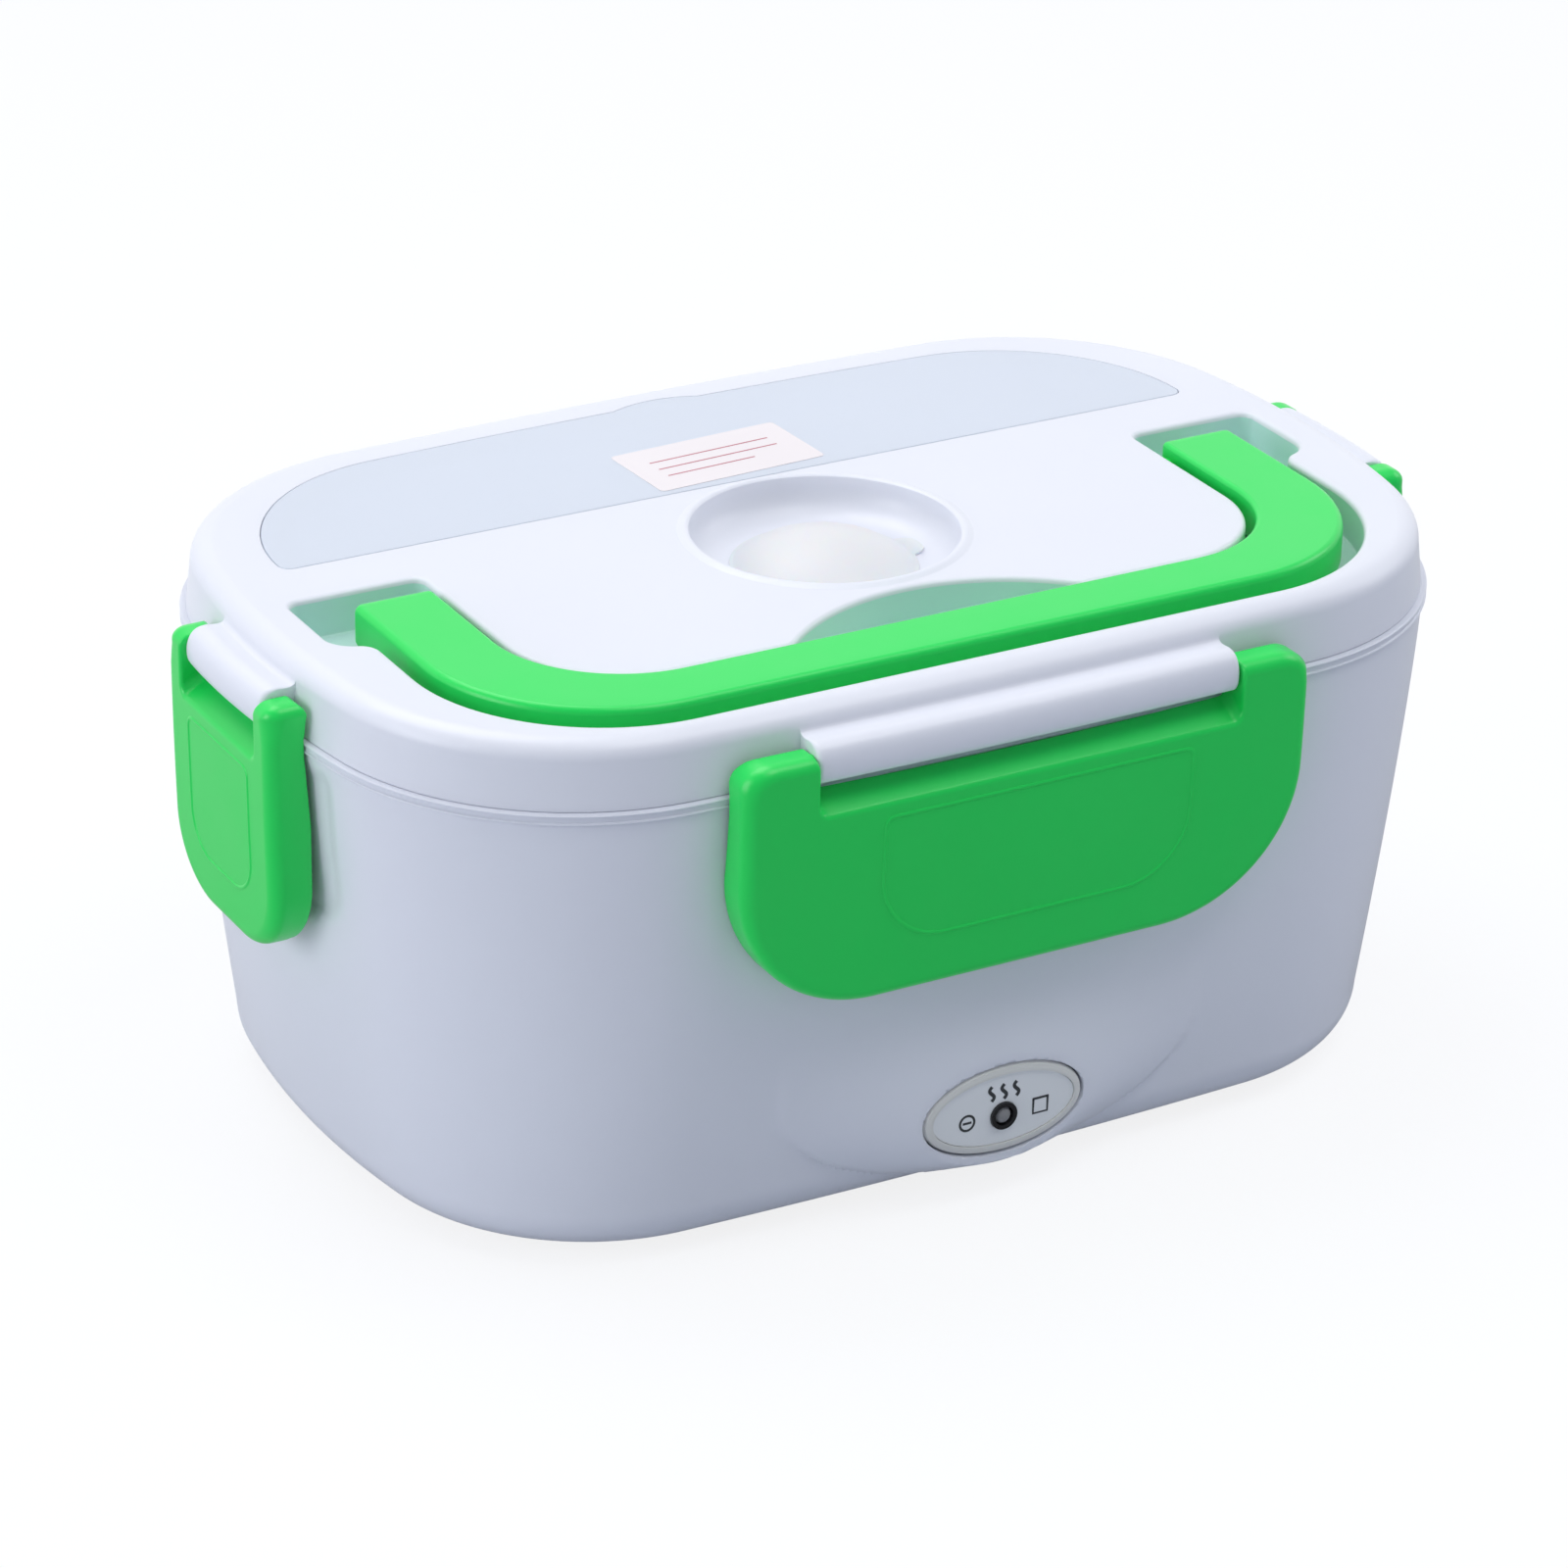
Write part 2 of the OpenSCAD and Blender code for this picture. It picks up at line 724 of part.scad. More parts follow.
module lid_shell() {
    zr = top_z - lid_round;
    color([0.95, 0.96, 0.98])
    difference() {
        union() {
            difference() {
                union() {
                    loft(concat([[R - 1.1, lid_low], [R - 2.1, zr]],
                                [for (a = [20, 40, 60, 78])
                                    [R - 2.1 - lid_round * (1 - cos(a)),
                                     zr + lid_round * sin(a)]],
                                [[R - 2.1 - lid_round, top_z]]));
                    lug(lug_x, half_y);
                    rotate([0, 0, 180])
                        lug(lug_x, half_y);
                    rotate([0, 0, 90])
                        lug(side_lug_x, half_x);
                    rotate([0, 0, -90])
                        lug(side_lug_x, half_x);
                }
                difference() {
                    loft([[R - 1.1 - wall, lid_low - 1], [R - 1.1 - wall, lid_low],
                          [R - 2.1 - wall, zr - 0.6], [R - 4.3 - wall, top_z - deck]]);
                    translate([0, 0, recess_z - tub])
                        linear_extrude(20)
                            union() {
                                difference() {
                                    front_round(arm_out + gap_out + tub, -(bar_out + 4 + tub),
                                                pocket_front + 4, 36 + tub);
                                    difference() {
                                        front_round(arm_in - gap_in - tub,
                                                    -(bar_in - gap_in - tub), pocket_back, 21.2);
                                        translate([0, -(bar_in + 27.3)])
                                            circle(r = 41.6 + tub);
                                    }
                                }
                                for (s = [-1, 1])
                                    scale([s, 1])
                                        all_round(arm_in - gap_in - tub, pocket_out + tub,
                                                  pocket_front - tub, pocket_back + tub, 3.9);
                                spoon_plan(3 - tub);
                            }
                    translate([0, 0, top_z - ledge - tub])
                        linear_extrude(20)
                            union() {
                                spoon_plan(-tub);
                                spoon_notch(-tub);
                            }
                    translate([0, vent_y, dish_z - tub])
                        cylinder(r = dish_radius + tub, h = 20);
                    for (s = [-1, 1])
                        translate([s * (arm_in - gap_in - 3.2), swing_y, swing_z])
                            rod_x(4.2, -3.2, 3.2);
                }
            }
            translate([0, vent_y, top_z])
                rotate_extrude()
                    translate([dish_radius + 1.5, -0.9])
                        circle(r = 1.5);
        }
        difference() {
            translate([0, 0, recess_z])
                linear_extrude(20)
                    channel_plan();
            // pads that the folded handle rests on
            for (x = [-42, 42])
                box(x - 4, x + 4, -(bar_out - 3), -(bar_in + 3), recess_z - 1, handle_low);
        }
        translate([0, 0, recess_z])
            linear_extrude(20)
                spoon_plan(3);
        translate([0, 0, top_z - ledge])
            linear_extrude(20)
                union() {
                    spoon_plan(0);
                    spoon_notch(0);
                }
        translate([0, vent_y, dish_z])
            cylinder(r = dish_radius, h = 20);
        translate([0, vent_y, dish_z - 5])
            cylinder(r = 5, h = 10);
        for (s = [-1, 1])
            translate([s * (arm_in - gap_in - 1.4), swing_y, swing_z])
                rod_x(2.5, -1.6, 1.6);
        lug_bores(lug_x, half_y);
        rotate([0, 0, 180])
            lug_bores(lug_x, half_y);
        rotate([0, 0, 90])
            lug_bores(side_lug_x, half_x);
        rotate([0, 0, -90])
            lug_bores(side_lug_x, half_x);
    }
}

module lid_liner() {
    color([0.92, 0.93, 0.96])
    difference() {
        union() {
            slab(R - liner_edge, rim_z + 1, liner_top);
            band_ring(R - 8.7, R - 10.3, rim_z - 2.6, rim_z + 1.4);
        }
        translate([0, vent_y, rim_z])
            cylinder(r = 5, h = 10);
    }
}

module lid_seal() {
    color([0.9, 0.9, 0.88])
    band_ring(R - 4.6, R - 8.6, rim_z + 0.05, rim_z + 1);
}

module spoon_cover() {
    color([0.82, 0.87, 0.95, 0.6])
    union() {
        translate([0, 0, top_z - ledge + 0.1])
            linear_extrude(ledge - 0.1)
                union() {
                    spoon_plan(0.3);
                    spoon_notch(0.3);
                }
        translate([0, 0, top_z - 4])
            linear_extrude(3)
                difference() {
                    spoon_plan(3.4);
                    spoon_plan(4.6);
                }
    }
}

module cover_label() {
    color([0.96, 0.94, 0.93])
    translate([-0.7, 34.3, top_z])
        rotate([0, 0, 3])
            linear_extrude(0.15)
                all_round(-18, 18, -9.6, 9.6, 1);
}

module vent_plug() {
    sr = (dome_r * dome_r + dome_h * dome_h) / (2 * dome_h);
    color([0.95, 0.95, 0.93])
    translate([0, vent_y, dish_z])
        union() {
            intersection() {
                translate([0, 0, dome_h - sr])
                    sphere(r = sr);
                translate([0, 0, 0.1])
                    cylinder(r = dome_r - 0.05, h = dome_h);
            }
            cylinder(r = dome_r, h = 0.5);
            translate([dome_r - 3, -3, 0])
                cube([5.5, 6, 1]);
            translate([0, 0, -3])
                cylinder(r = 4.6, h = 4);
        }
}

module carry_handle() {
    color([0.2, 0.85, 0.4])
    union() {
        difference() {
            union() {
                translate([0, 0, handle_low + 0.8])
                    linear_extrude(handle_thickness - 1.6)
                        handle_plan(0);
                translate([0, 0, handle_low])
                    linear_extrude(handle_thickness)
                        handle_plan(0.9);
            }
            // rounded lower back corner of both arms
            difference() {
                box(-120, 120, swing_y, swing_y + 10, handle_low - 2, swing_z);
                translate([0, swing_y, swing_z])
                    rod_x(3.9, -130, 130);
            }
            // rounded upper back corner of both arms
            difference() {
                box(-120, 120, swing_y + 1.6, swing_y + 10, handle_top - 2, handle_top + 2);
                translate([0, swing_y + 1.6, handle_top - 2])
                    rod_x(2, -130, 130);
            }
        }
        for (s = [-1, 1])
            translate([s * (arm_in - 1.6), swing_y, swing_z])
                rod_x(2.2, -2.2, 2.2);
    }
}

// A latch for a lug on the -Y side whose pivot is at hw + pivot_out: x is half its length,
// e the width of an ear and rl the radius of its lower corners.
module latch_blank(x, e, rl, hw) {
    f = -(hw + face_out);
    zt = pivot_z + 3.7;
    zb = pivot_z - latch_height + 3.7;
    translate([0, f + 9, 0])
        rotate([90, 0, 0])
            linear_extrude(9.01)
                difference() {
                    latch_front_plan(x, rl, zb, zt, 3.2);
                    translate([-(x - e), pivot_z - notch_low])
                        square([2 * (x - e), 40]);
                }
}

module latch_front_plan(x, rl, z0, z1, rt) {
    translate([-x + rl, z0])
        square([2 * x - 2 * rl, z1 - z0 - 8]);
    translate([-x, z0 + rl])
        square([2 * x, z1 - z0 - rl - rt]);
    translate([-x + rt, z1 - 12])
        square([2 * x - 2 * rt, 12]);
    for (s = [-1, 1]) {
        translate([s * (x - rl), z0 + rl])
            circle(r = rl);
        translate([s * (x - rt), z1 - rt])
            circle(r = rt);
    }
}

module latch_side_plan(hw, t) {
    f = hw + face_out - t;
    zb = pivot_z - latch_height + 3.7;
    // side view: first number is the distance outwards, second the height
    union() {
        polygon([[hw - 6, pivot_z], [f, pivot_z], [f, pivot_z - 9], [f - 1.7, zb + 3],
                 [f - 2.6, zb + 0.9], [f - 4.6, zb + (t > 0 ? t : 0)],
                 [hw - 6, zb + (t > 0 ? t : 0)]]);
        translate([hw + face_out - 4 - t, pivot_z - 0.2])
            square([4, 2]);
        translate([f - 3.6, pivot_z + 0.1])
            circle(r = 3.6);
    }
}

module latch(x, e, rl, hw, hook) {
    zb = pivot_z - latch_height + 3.7;
    union() {
        difference() {
            intersection() {
                latch_blank(x, e, rl, hw);
                latch_prism(x, hw, 0);
            }
            // hollow back
            intersection() {
                rotate([90, 0, 0])
                    linear_extrude(hw + 20)
                        latch_front_plan(x - 2.2, rl - 2.2, zb + 2.2, pivot_z - 6, 1);
                latch_prism(x, hw, 2.3);
            }
        }
        // sloped top edge of the plate, under the lug
        latch_web(x - e, hw);
        // snap bead
        box(-hook, hook, -(hw + face_out - 2), -(hw + rib_out + rib_gap), rib_z - 3.4,
            rib_z - 1);
        for (s = [-1, 1])
            translate([s * (x - e - 1.4), -(hw + pivot_out), pivot_z])
                rod_x(1.8, -1.6, 1.6);
    }
}

module latch_web(x, hw) {
    f = hw + face_out;
    i = hw + 1.4;
    translate([-x - 0.1, 0, pivot_z])
        rotate([90, 0, 90])
            linear_extrude(2 * x + 0.2)
                scale([-1, 1])
                    polygon([[f, -notch_low], [f, -notch_low - 1], [f - 2.7, -notch_low - 2],
                             [i, 0.4 - notch_low], [i, 2.6 - notch_low]]);
}

module latch_prism(x, hw, t) {
    translate([-x - 1, 0, 0])
        rotate([90, 0, 90])
            linear_extrude(2 * x + 2)
                scale([-1, 1])
                    latch_side_plan(hw, t);
}

// What a latch stays clear of: the body and rim, and the way of the catch ribs as the lid lifts.
module keep_out() {
    out = rib_out + rib_gap;
    top = rib_z + rib_h + 2;
    slab(R + 0.35, -5, top_z + 20);
    box(-rib_long - 1, rib_long + 1, -half_y - out, half_y + out, -5, top);
    box(-half_x - out, half_x + out, -rib_short - 1, rib_short + 1, -5, top);
}

module latch_front() {
    color([0.12, 0.7, 0.32])
    difference() {
        latch(latch_length / 2, ear, 28, half_y, rib_long - 1);
        keep_out();
    }
}

module latch_back() {
    color([0.12, 0.7, 0.32])
    difference() {
        rotate([0, 0, 180])
            latch(latch_length / 2, ear, 28, half_y, rib_long - 1);
        keep_out();
    }
}

module latch_left() {
    color([0.12, 0.7, 0.32])
    difference() {
        rotate([0, 0, -90])
            latch(side_latch_length / 2, side_ear, 15, half_x, rib_short - 1);
        keep_out();
    }
}

module latch_right() {
    color([0.12, 0.7, 0.32])
    difference() {
        rotate([0, 0, 90])
            latch(side_latch_length / 2, side_ear, 15, half_x, rib_short - 1);
        keep_out();
    }
}

outer_shell();
chamber_liner();
heating_plate();
plate_seal();
ptc_heater();
insulation_pad();
heater_bracket();
bracket_screws();
thermostat();
thermal_fuse();
live_lead();
neutral_lead();
lamp_lead();
inlet_socket();
inlet_pins();
lamp_bezel();
lamp_panel();
lamp_collar();
lamp_lens();
lamp_board();
base_cover();
base_screws();
base_feet();
food_tray();
side_cup();
side_cup_lid();
lid_shell();
lid_liner();
lid_seal();
spoon_cover();
cover_label();
vent_plug();
carry_handle();
latch_front();
latch_back();
latch_left();
latch_right();
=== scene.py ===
import math

import bmesh
import bpy
import numpy as np
import openvdb
from mathutils import Matrix, Vector, geometry


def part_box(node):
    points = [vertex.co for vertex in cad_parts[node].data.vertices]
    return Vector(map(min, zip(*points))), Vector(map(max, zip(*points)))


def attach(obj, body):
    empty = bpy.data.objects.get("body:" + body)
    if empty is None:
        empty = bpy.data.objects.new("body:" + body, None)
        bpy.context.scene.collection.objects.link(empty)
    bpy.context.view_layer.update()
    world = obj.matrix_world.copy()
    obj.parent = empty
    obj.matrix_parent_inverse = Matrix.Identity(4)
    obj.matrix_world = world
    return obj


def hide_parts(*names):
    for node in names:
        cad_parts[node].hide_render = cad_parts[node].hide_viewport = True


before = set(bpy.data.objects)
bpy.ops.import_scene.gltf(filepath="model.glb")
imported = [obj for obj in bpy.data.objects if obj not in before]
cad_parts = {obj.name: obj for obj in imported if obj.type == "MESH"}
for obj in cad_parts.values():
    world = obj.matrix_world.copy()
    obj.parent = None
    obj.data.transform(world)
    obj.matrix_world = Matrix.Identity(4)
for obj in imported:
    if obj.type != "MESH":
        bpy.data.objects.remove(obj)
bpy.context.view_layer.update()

# Lengths are in millimetres up to the point where a mesh is made.
MM = 0.001


def span(node):
    """Lowest and highest corner of a node in millimetres."""
    lo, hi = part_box(node)
    return np.array(lo) / MM, np.array(hi) / MM


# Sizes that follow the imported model
HALF_X, HALF_Y, RIM_Z = span("chamber_liner")[1]
LID_GAP = 0.3
LID_HEIGHT = 12.1
TOP = RIM_Z + LID_GAP + LID_HEIGHT
RIM_BAND = 2
BODY_TOP = RIM_Z - RIM_BAND

# Underside of the chamber's floor
FLOOR_LOW = 29.6

# Plan outline: a core curve with bowed sides, and this corner radius about it
CORNER_R = 50.4
BOW_X = 1.9
BOW_Y = 1.2
CORE_X = HALF_X - CORNER_R - BOW_X
CORE_Y = HALF_Y - CORNER_R - BOW_Y

# Carry handle: height and place of its pivots, and the floor of its channel
SWING_Z = TOP - 3.6
SWING_Y = -2.0
RECESS = TOP - 8

# Latches: pivot, face, ends of their lugs, half lengths, ears, and how strongly the face curves in
PIVOT_Z = TOP - 7.4
PIVOT_OUT = 2.1
FACE_OUT = 5.9
LUG_END = 42.7
SIDE_LUG_END = 15.2
LATCH_HALF = 57.5
SIDE_LATCH_HALF = 21.5
EAR = 14.5
SIDE_EAR = 6.0
LATCH_CURVE = 0.00108
SIDE_LATCH_CURVE = 0.0005
EAR_FOOT = TOP - 9
CURVE_TOP = TOP - 13

# Lamp panel and how softly its pod meets the wall, then vent dish and plug
LAMP_Y = -(HALF_Y - 0.2)
LAMP_Z = 18.2
POD_BLEND = 3.6
VENT_Y = -5.4
DISH_RADIUS = 24.9
DISH_Z = TOP - 7
DOME_RADIUS = 17.5
DOME_HEIGHT = 6.3

# Body: rounding below LOW_Z down to the base cover, draft of the walls, recess at the side latches
LOW_Z = 11.0
LOW_ROUND = 9.5
PART_ANGLE = 53
DRAFT = 4.8
END_DRAFT = 3.2
RECESS_DEPTH = 0.8


# The camera

def add_camera():
    """The view of the photograph, with its slight roll."""
    place = Vector((-472.9, -818.9, 506.7)) * MM
    forward = Vector((0.4473, 0.7819, -0.4341)).normalized()
    flat_right = forward.cross(Vector((0, 0, 1))).normalized()
    flat_up = flat_right.cross(forward)
    roll = math.radians(1.2)
    right = flat_right * math.cos(roll) + flat_up * math.sin(roll)
    up = flat_up * math.cos(roll) - flat_right * math.sin(roll)
    data = bpy.data.cameras.new("camera")
    data.sensor_width = 36
    data.lens = 128.25
    data.clip_start = 0.05
    data.clip_end = 20
    camera = bpy.data.objects.new("camera", data)
    bpy.context.scene.collection.objects.link(camera)
    turn = Matrix((right, up, -forward)).transposed().to_4x4()
    camera.matrix_world = Matrix.Translation(place) @ turn
    bpy.context.scene.camera = camera


# Materials

GLOSS_SPREAD = 0.03
GRAIN_HEIGHT = 0.00002


def emptied(owner):
    """The node tree of a material or world, with nothing in it, and a way to add a set node."""
    owner.use_nodes = True
    tree = owner.node_tree
    tree.nodes.clear()

    def add(kind, **values):
        node = tree.nodes.new("ShaderNode" + kind)
        for name, value in values.items():
            node.inputs[name.replace("_", " ")].default_value = value
        return node

    return tree, add


def material(name, colour, rough, vary=0.03, grain=0.05, stretch=None, cloud_scale=18,
             mark_scale=90, grain_scale=1400, sockets=None):
    """A moulded or metal finish: slight cloudiness in colour and gloss, and a fine surface grain."""
    mat = bpy.data.materials.new(name)
    tree, add = emptied(mat)
    link = tree.links.new
    out = add("OutputMaterial")
    bsdf = add("BsdfPrincipled")
    link(bsdf.outputs[0], out.inputs[0])
    coord = add("TexCoord")

    def noise(scale, detail):
        node = add("TexNoise", Scale=scale, Detail=detail)
        source = coord.outputs["Object"]
        if stretch:
            mapping = add("Mapping", Scale=stretch)
            link(source, mapping.inputs["Vector"])
            source = mapping.outputs["Vector"]
        link(source, node.inputs["Vector"])
        return node.outputs["Fac"]

    def ranged(fac, low, high):
        node = add("MapRange", From_Min=0.15, From_Max=0.85, To_Min=low, To_Max=high)
        node.interpolation_type = "SMOOTHSTEP"
        link(fac, node.inputs["Value"])
        return node.outputs["Result"]

    ramp = add("Mix")
    ramp.data_type = "RGBA"
    ramp.inputs["A"].default_value = [c * (1 - vary) for c in colour] + [1]
    ramp.inputs["B"].default_value = [min(1, c * (1 + vary)) for c in colour] + [1]
    link(ranged(noise(cloud_scale, 1), 0, 1), ramp.inputs["Factor"])
    link(ramp.outputs["Result"], bsdf.inputs["Base Color"])
    gloss = ranged(noise(mark_scale, 2), rough - GLOSS_SPREAD, rough + GLOSS_SPREAD)
    link(gloss, bsdf.inputs["Roughness"])
    bump = add("Bump", Strength=grain, Distance=GRAIN_HEIGHT)
    link(noise(grain_scale, 2), bump.inputs["Height"])
    link(bump.outputs["Normal"], bsdf.inputs["Normal"])
    for socket, value in (sockets or {}).items():
        bsdf.inputs[socket].default_value = value
    return mat


WHITE = (0.79, 0.81, 0.89)
GREEN = (0.013, 0.74, 0.11)

white = material("white_plastic", WHITE, 0.36, vary=0.012, grain=0.06,
                 sockets={"Subsurface Weight": 0.12, "Subsurface Scale": 0.004,
                          "Subsurface Radius": (1.0, 1.0, 1.0)})
# white of the handle channel, with the green handle's reflection painted in as a green tint
channel_mat = material("white_with_painted_green_reflection", (0.6, 0.82, 0.8), 0.4, vary=0.012)
liner_mat = material("liner_plastic", (0.74, 0.76, 0.84), 0.36, vary=0.012)
green = material("green_plastic", GREEN, 0.33, vary=0.015, grain=0.05)
tray_mat = material("tray_plastic", (0.82, 0.84, 0.88), 0.3, vary=0.015,
                    sockets={"Subsurface Weight": 0.1, "Subsurface Scale": 0.003,
                             "Subsurface Radius": (1.0, 1.0, 1.0)})
cover_mat = material("cover_plastic", (0.8, 0.86, 0.97), 0.34, vary=0.01,
                     sockets={"Transmission Weight": 0.22, "IOR": 1.45})
label_mat = material("label_film", (0.86, 0.81, 0.83), 0.5, vary=0.02, mark_scale=300, grain=0.03)
plug_mat = material("plug_silicone", (0.77, 0.775, 0.79), 0.42, vary=0.02, grain=0.12,
                    sockets={"Subsurface Weight": 0.3, "Subsurface Scale": 0.003})
seal_mat = material("seal_silicone", (0.82, 0.82, 0.8), 0.55, vary=0.03, grain=0.15)
plate_mat = material("plate_metal", (0.68, 0.69, 0.71), 0.32, vary=0.05, stretch=(1, 18, 1),
                     sockets={"Metallic": 1.0})
steel_mat = material("steel", (0.55, 0.56, 0.58), 0.3, vary=0.08, mark_scale=500,
                     sockets={"Metallic": 1.0})
heater_mat = material("heater_case", (0.62, 0.61, 0.58), 0.4, vary=0.07, stretch=(20, 1, 1),
                      sockets={"Metallic": 0.9})
felt_mat = material("insulation_felt", (0.78, 0.74, 0.64), 0.92, vary=0.12, cloud_scale=160,
                    grain_scale=900, grain=0.9, sockets={"Sheen Weight": 0.3})
red_mat = material("red_silicone", (0.6, 0.14, 0.08), 0.6, vary=0.05, grain=0.2)
dark_mat = material("dark_plastic", (0.035, 0.035, 0.038), 0.45, vary=0.15, grain=0.25)
fuse_mat = material("fuse_body", (0.72, 0.72, 0.66), 0.3, vary=0.05)
brown_mat = material("brown_lead", (0.22, 0.085, 0.045), 0.42, vary=0.08)
blue_mat = material("blue_lead", (0.06, 0.13, 0.42), 0.42, vary=0.08)
pale_lead_mat = material("white_lead", (0.75, 0.75, 0.73), 0.42, vary=0.04)
brass_mat = material("brass_pins", (0.7, 0.52, 0.24), 0.25, vary=0.08, mark_scale=700,
                     sockets={"Metallic": 1.0})
silver_mat = material("silver_plastic", (0.72, 0.72, 0.7), 0.3, vary=0.03, mark_scale=400)
film_mat = material("panel_film", (0.82, 0.84, 0.86), 0.42, vary=0.02, grain_scale=2500, grain=0.25)
black_mat = material("black_plastic", (0.02, 0.02, 0.022), 0.25, vary=0.2, grain=0.1)
lens_mat = material("smoked_lens", (0.26, 0.26, 0.27), 0.12, vary=0.05,
                    sockets={"Coat Weight": 0.6, "Coat Roughness": 0.05})
board_mat = material("board", (0.03, 0.17, 0.08), 0.35, vary=0.12, cloud_scale=400)
feet_mat = material("rubber_feet", (0.06, 0.06, 0.065), 0.75, vary=0.12, grain=0.5)
ink_mat = material("panel_print", (0.05, 0.055, 0.06), 0.5, vary=0.1)
rule_mat = material("label_rules", (0.55, 0.2, 0.24), 0.55, vary=0.08)

# Finish of the nodes that carry over with the shapes they have
KEPT = {
    "heating_plate": plate_mat, "plate_seal": red_mat, "ptc_heater": heater_mat,
    "insulation_pad": felt_mat, "heater_bracket": steel_mat, "bracket_screws": steel_mat,
    "thermostat": dark_mat, "thermal_fuse": fuse_mat, "live_lead": brown_mat,
    "neutral_lead": blue_mat, "lamp_lead": pale_lead_mat, "inlet_socket": dark_mat,
    "inlet_pins": brass_mat, "lamp_board": board_mat, "base_cover": white,
    "base_screws": steel_mat, "base_feet": feet_mat, "food_tray": tray_mat,
    "side_cup": tray_mat, "side_cup_lid": green, "lid_liner": liner_mat,
    "lid_seal": seal_mat, "lamp_bezel": silver_mat, "lamp_panel": film_mat,
    "lamp_collar": black_mat, "lamp_lens": lens_mat,
}
for node_name, finish in KEPT.items():
    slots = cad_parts[node_name].data.materials
    slots.clear()
    slots.append(finish)


# Building meshes

class Shape:
    """Collects points and faces in millimetres."""

    def __init__(self):
        self.points = []
        self.faces = []

    def ring(self, xy, z):
        """Points in plan at a height, or at a height each."""
        first = len(self.points)
        heights = np.broadcast_to(np.asarray(z, float), (len(xy),))
        self.points.extend(np.column_stack([xy, heights]).tolist())
        return list(range(first, first + len(xy)))

    def add(self, xyz):
        """Points in space."""
        first = len(self.points)
        self.points.extend(np.asarray(xyz, float).tolist())
        return list(range(first, first + len(xyz)))

    def bridge(self, a, b, closed=True):
        """Faces between two rows of as many points."""
        n = len(a)
        for i in range(n if closed else n - 1):
            j = (i + 1) % n
            self.faces.append((a[i], a[j], b[j], b[i]))

    def chain(self, rings):
        """Faces from each ring to the next."""
        for a, b in zip(rings, rings[1:]):
            self.bridge(a, b)

    def solid(self, rings):
        """A chain of rings, closed at both ends."""
        self.chain(rings)
        self.cap(rings[0])
        self.cap(rings[-1])

    def fill(self, *rings):
        """Flat faces inside the first ring and outside the others."""
        flat = [i for ring in rings for i in ring]
        loops = [[Vector((self.points[i][0], self.points[i][1], 0)) for i in r] for r in rings]
        for tri in geometry.tessellate_polygon(loops):
            self.faces.append(tuple(flat[k] for k in tri))

    def cap(self, ring):
        """One face over a ring."""
        self.faces.append(tuple(ring))

    def build(self, name, finish, sharp=32, weighted=True):
        """A smooth mesh object, with edges above the sharp angle left hard."""
        mesh = bpy.data.meshes.new(name)
        mesh.from_pydata([Vector(p) * MM for p in self.points], [], self.faces)
        bm = bmesh.new()
        bm.from_mesh(mesh)
        bmesh.ops.remove_doubles(bm, verts=bm.verts, dist=2e-6)
        bmesh.ops.recalc_face_normals(bm, faces=bm.faces)
        for face in bm.faces:
            face.smooth = True
        limit = math.radians(sharp)
        for edge in bm.edges:
            if len(edge.link_faces) != 2 or edge.calc_face_angle(0) > limit:
                edge.smooth = False
        bm.to_mesh(mesh)
        bm.free()
        mesh.materials.append(finish)
        piece = bpy.data.objects.new(name, mesh)
        bpy.context.scene.collection.objects.link(piece)
        if weighted:
            modifier = piece.modifiers.new("weighted", "WEIGHTED_NORMAL")
            modifier.keep_sharp = True
        return piece


def arc(cx, cy, r, a0, a1, out=1, step=4):
    """Points and outward directions along an arc."""
    n = max(2, int(abs(a1 - a0) / step + 0.5))
    a = np.radians(np.linspace(a0, a1, n + 1))
    d = np.stack([np.cos(a), np.sin(a)], 1)
    return np.hstack([np.array([cx, cy]) + r * d, out * d])


def mirrored(half):
    """Closes a right half, listed from one point on the middle line to the other."""
    other = half[::-1] * [-1, 1, -1, 1]
    return np.vstack([half, other[1:-1]])


def at(path, offset):
    """Points of a path moved outwards."""
    return path[:, :2] + path[:, 2:4] * np.asarray(offset, float).reshape(-1, 1)


def sweep(shape, path, profile):
    """A profile of offset and height carried along a closed path."""
    rings = [shape.ring(at(path, o), z) for o, z in profile]
    shape.chain(rings)
    return rings


def bend(cx, cz, rx, rz, a0, a1, n):
    """Part of an ellipse in a profile."""
    a = np.radians(np.linspace(a0, a1, n))
    return [(cx + rx * math.cos(t), cz + rz * math.sin(t)) for t in a]


def curve_through(points, n):
    """A smooth curve through the points, n steps between each two."""
    p = np.array(points, float)
    q = np.vstack([2 * p[0] - p[1], p, 2 * p[-1] - p[-2]])
    out = []
    for i in range(1, len(q) - 2):
        for t in np.linspace(0, 1, n, endpoint=False):
            a, b, c, d = q[i - 1:i + 3]
            out.append(0.5 * (2 * b + (c - a) * t + (2 * a - 5 * b + 4 * c - d) * t * t
                              + (3 * b - a - 3 * c + d) * t ** 3))
    out.append(p[-1])
    return [tuple(v) for v in out]


# The plan outline

def quarter(long_at, corner_at, short_at, end=0.0):
    """Core points and normals from the middle of the long side to the middle of the short side.

    The short side moves in by end.
    """
    rows = []
    core_x = CORE_X - end
    for x in long_at:
        x = x * core_x / CORE_X
        slope = 2 * BOW_Y * x / core_x ** 2
        size = math.hypot(1, slope)
        rows.append((x, CORE_Y + BOW_Y * (1 - (x / core_x) ** 2), slope / size, 1 / size))
    for a in corner_at:
        rows.append((core_x, CORE_Y, math.cos(a), math.sin(a)))
    for y in short_at:
        slope = 2 * BOW_X * y / CORE_Y ** 2
        size = math.hypot(1, slope)
        rows.append((core_x + BOW_X * (1 - (y / CORE_Y) ** 2), y, 1 / size, slope / size))
    return np.array(rows)


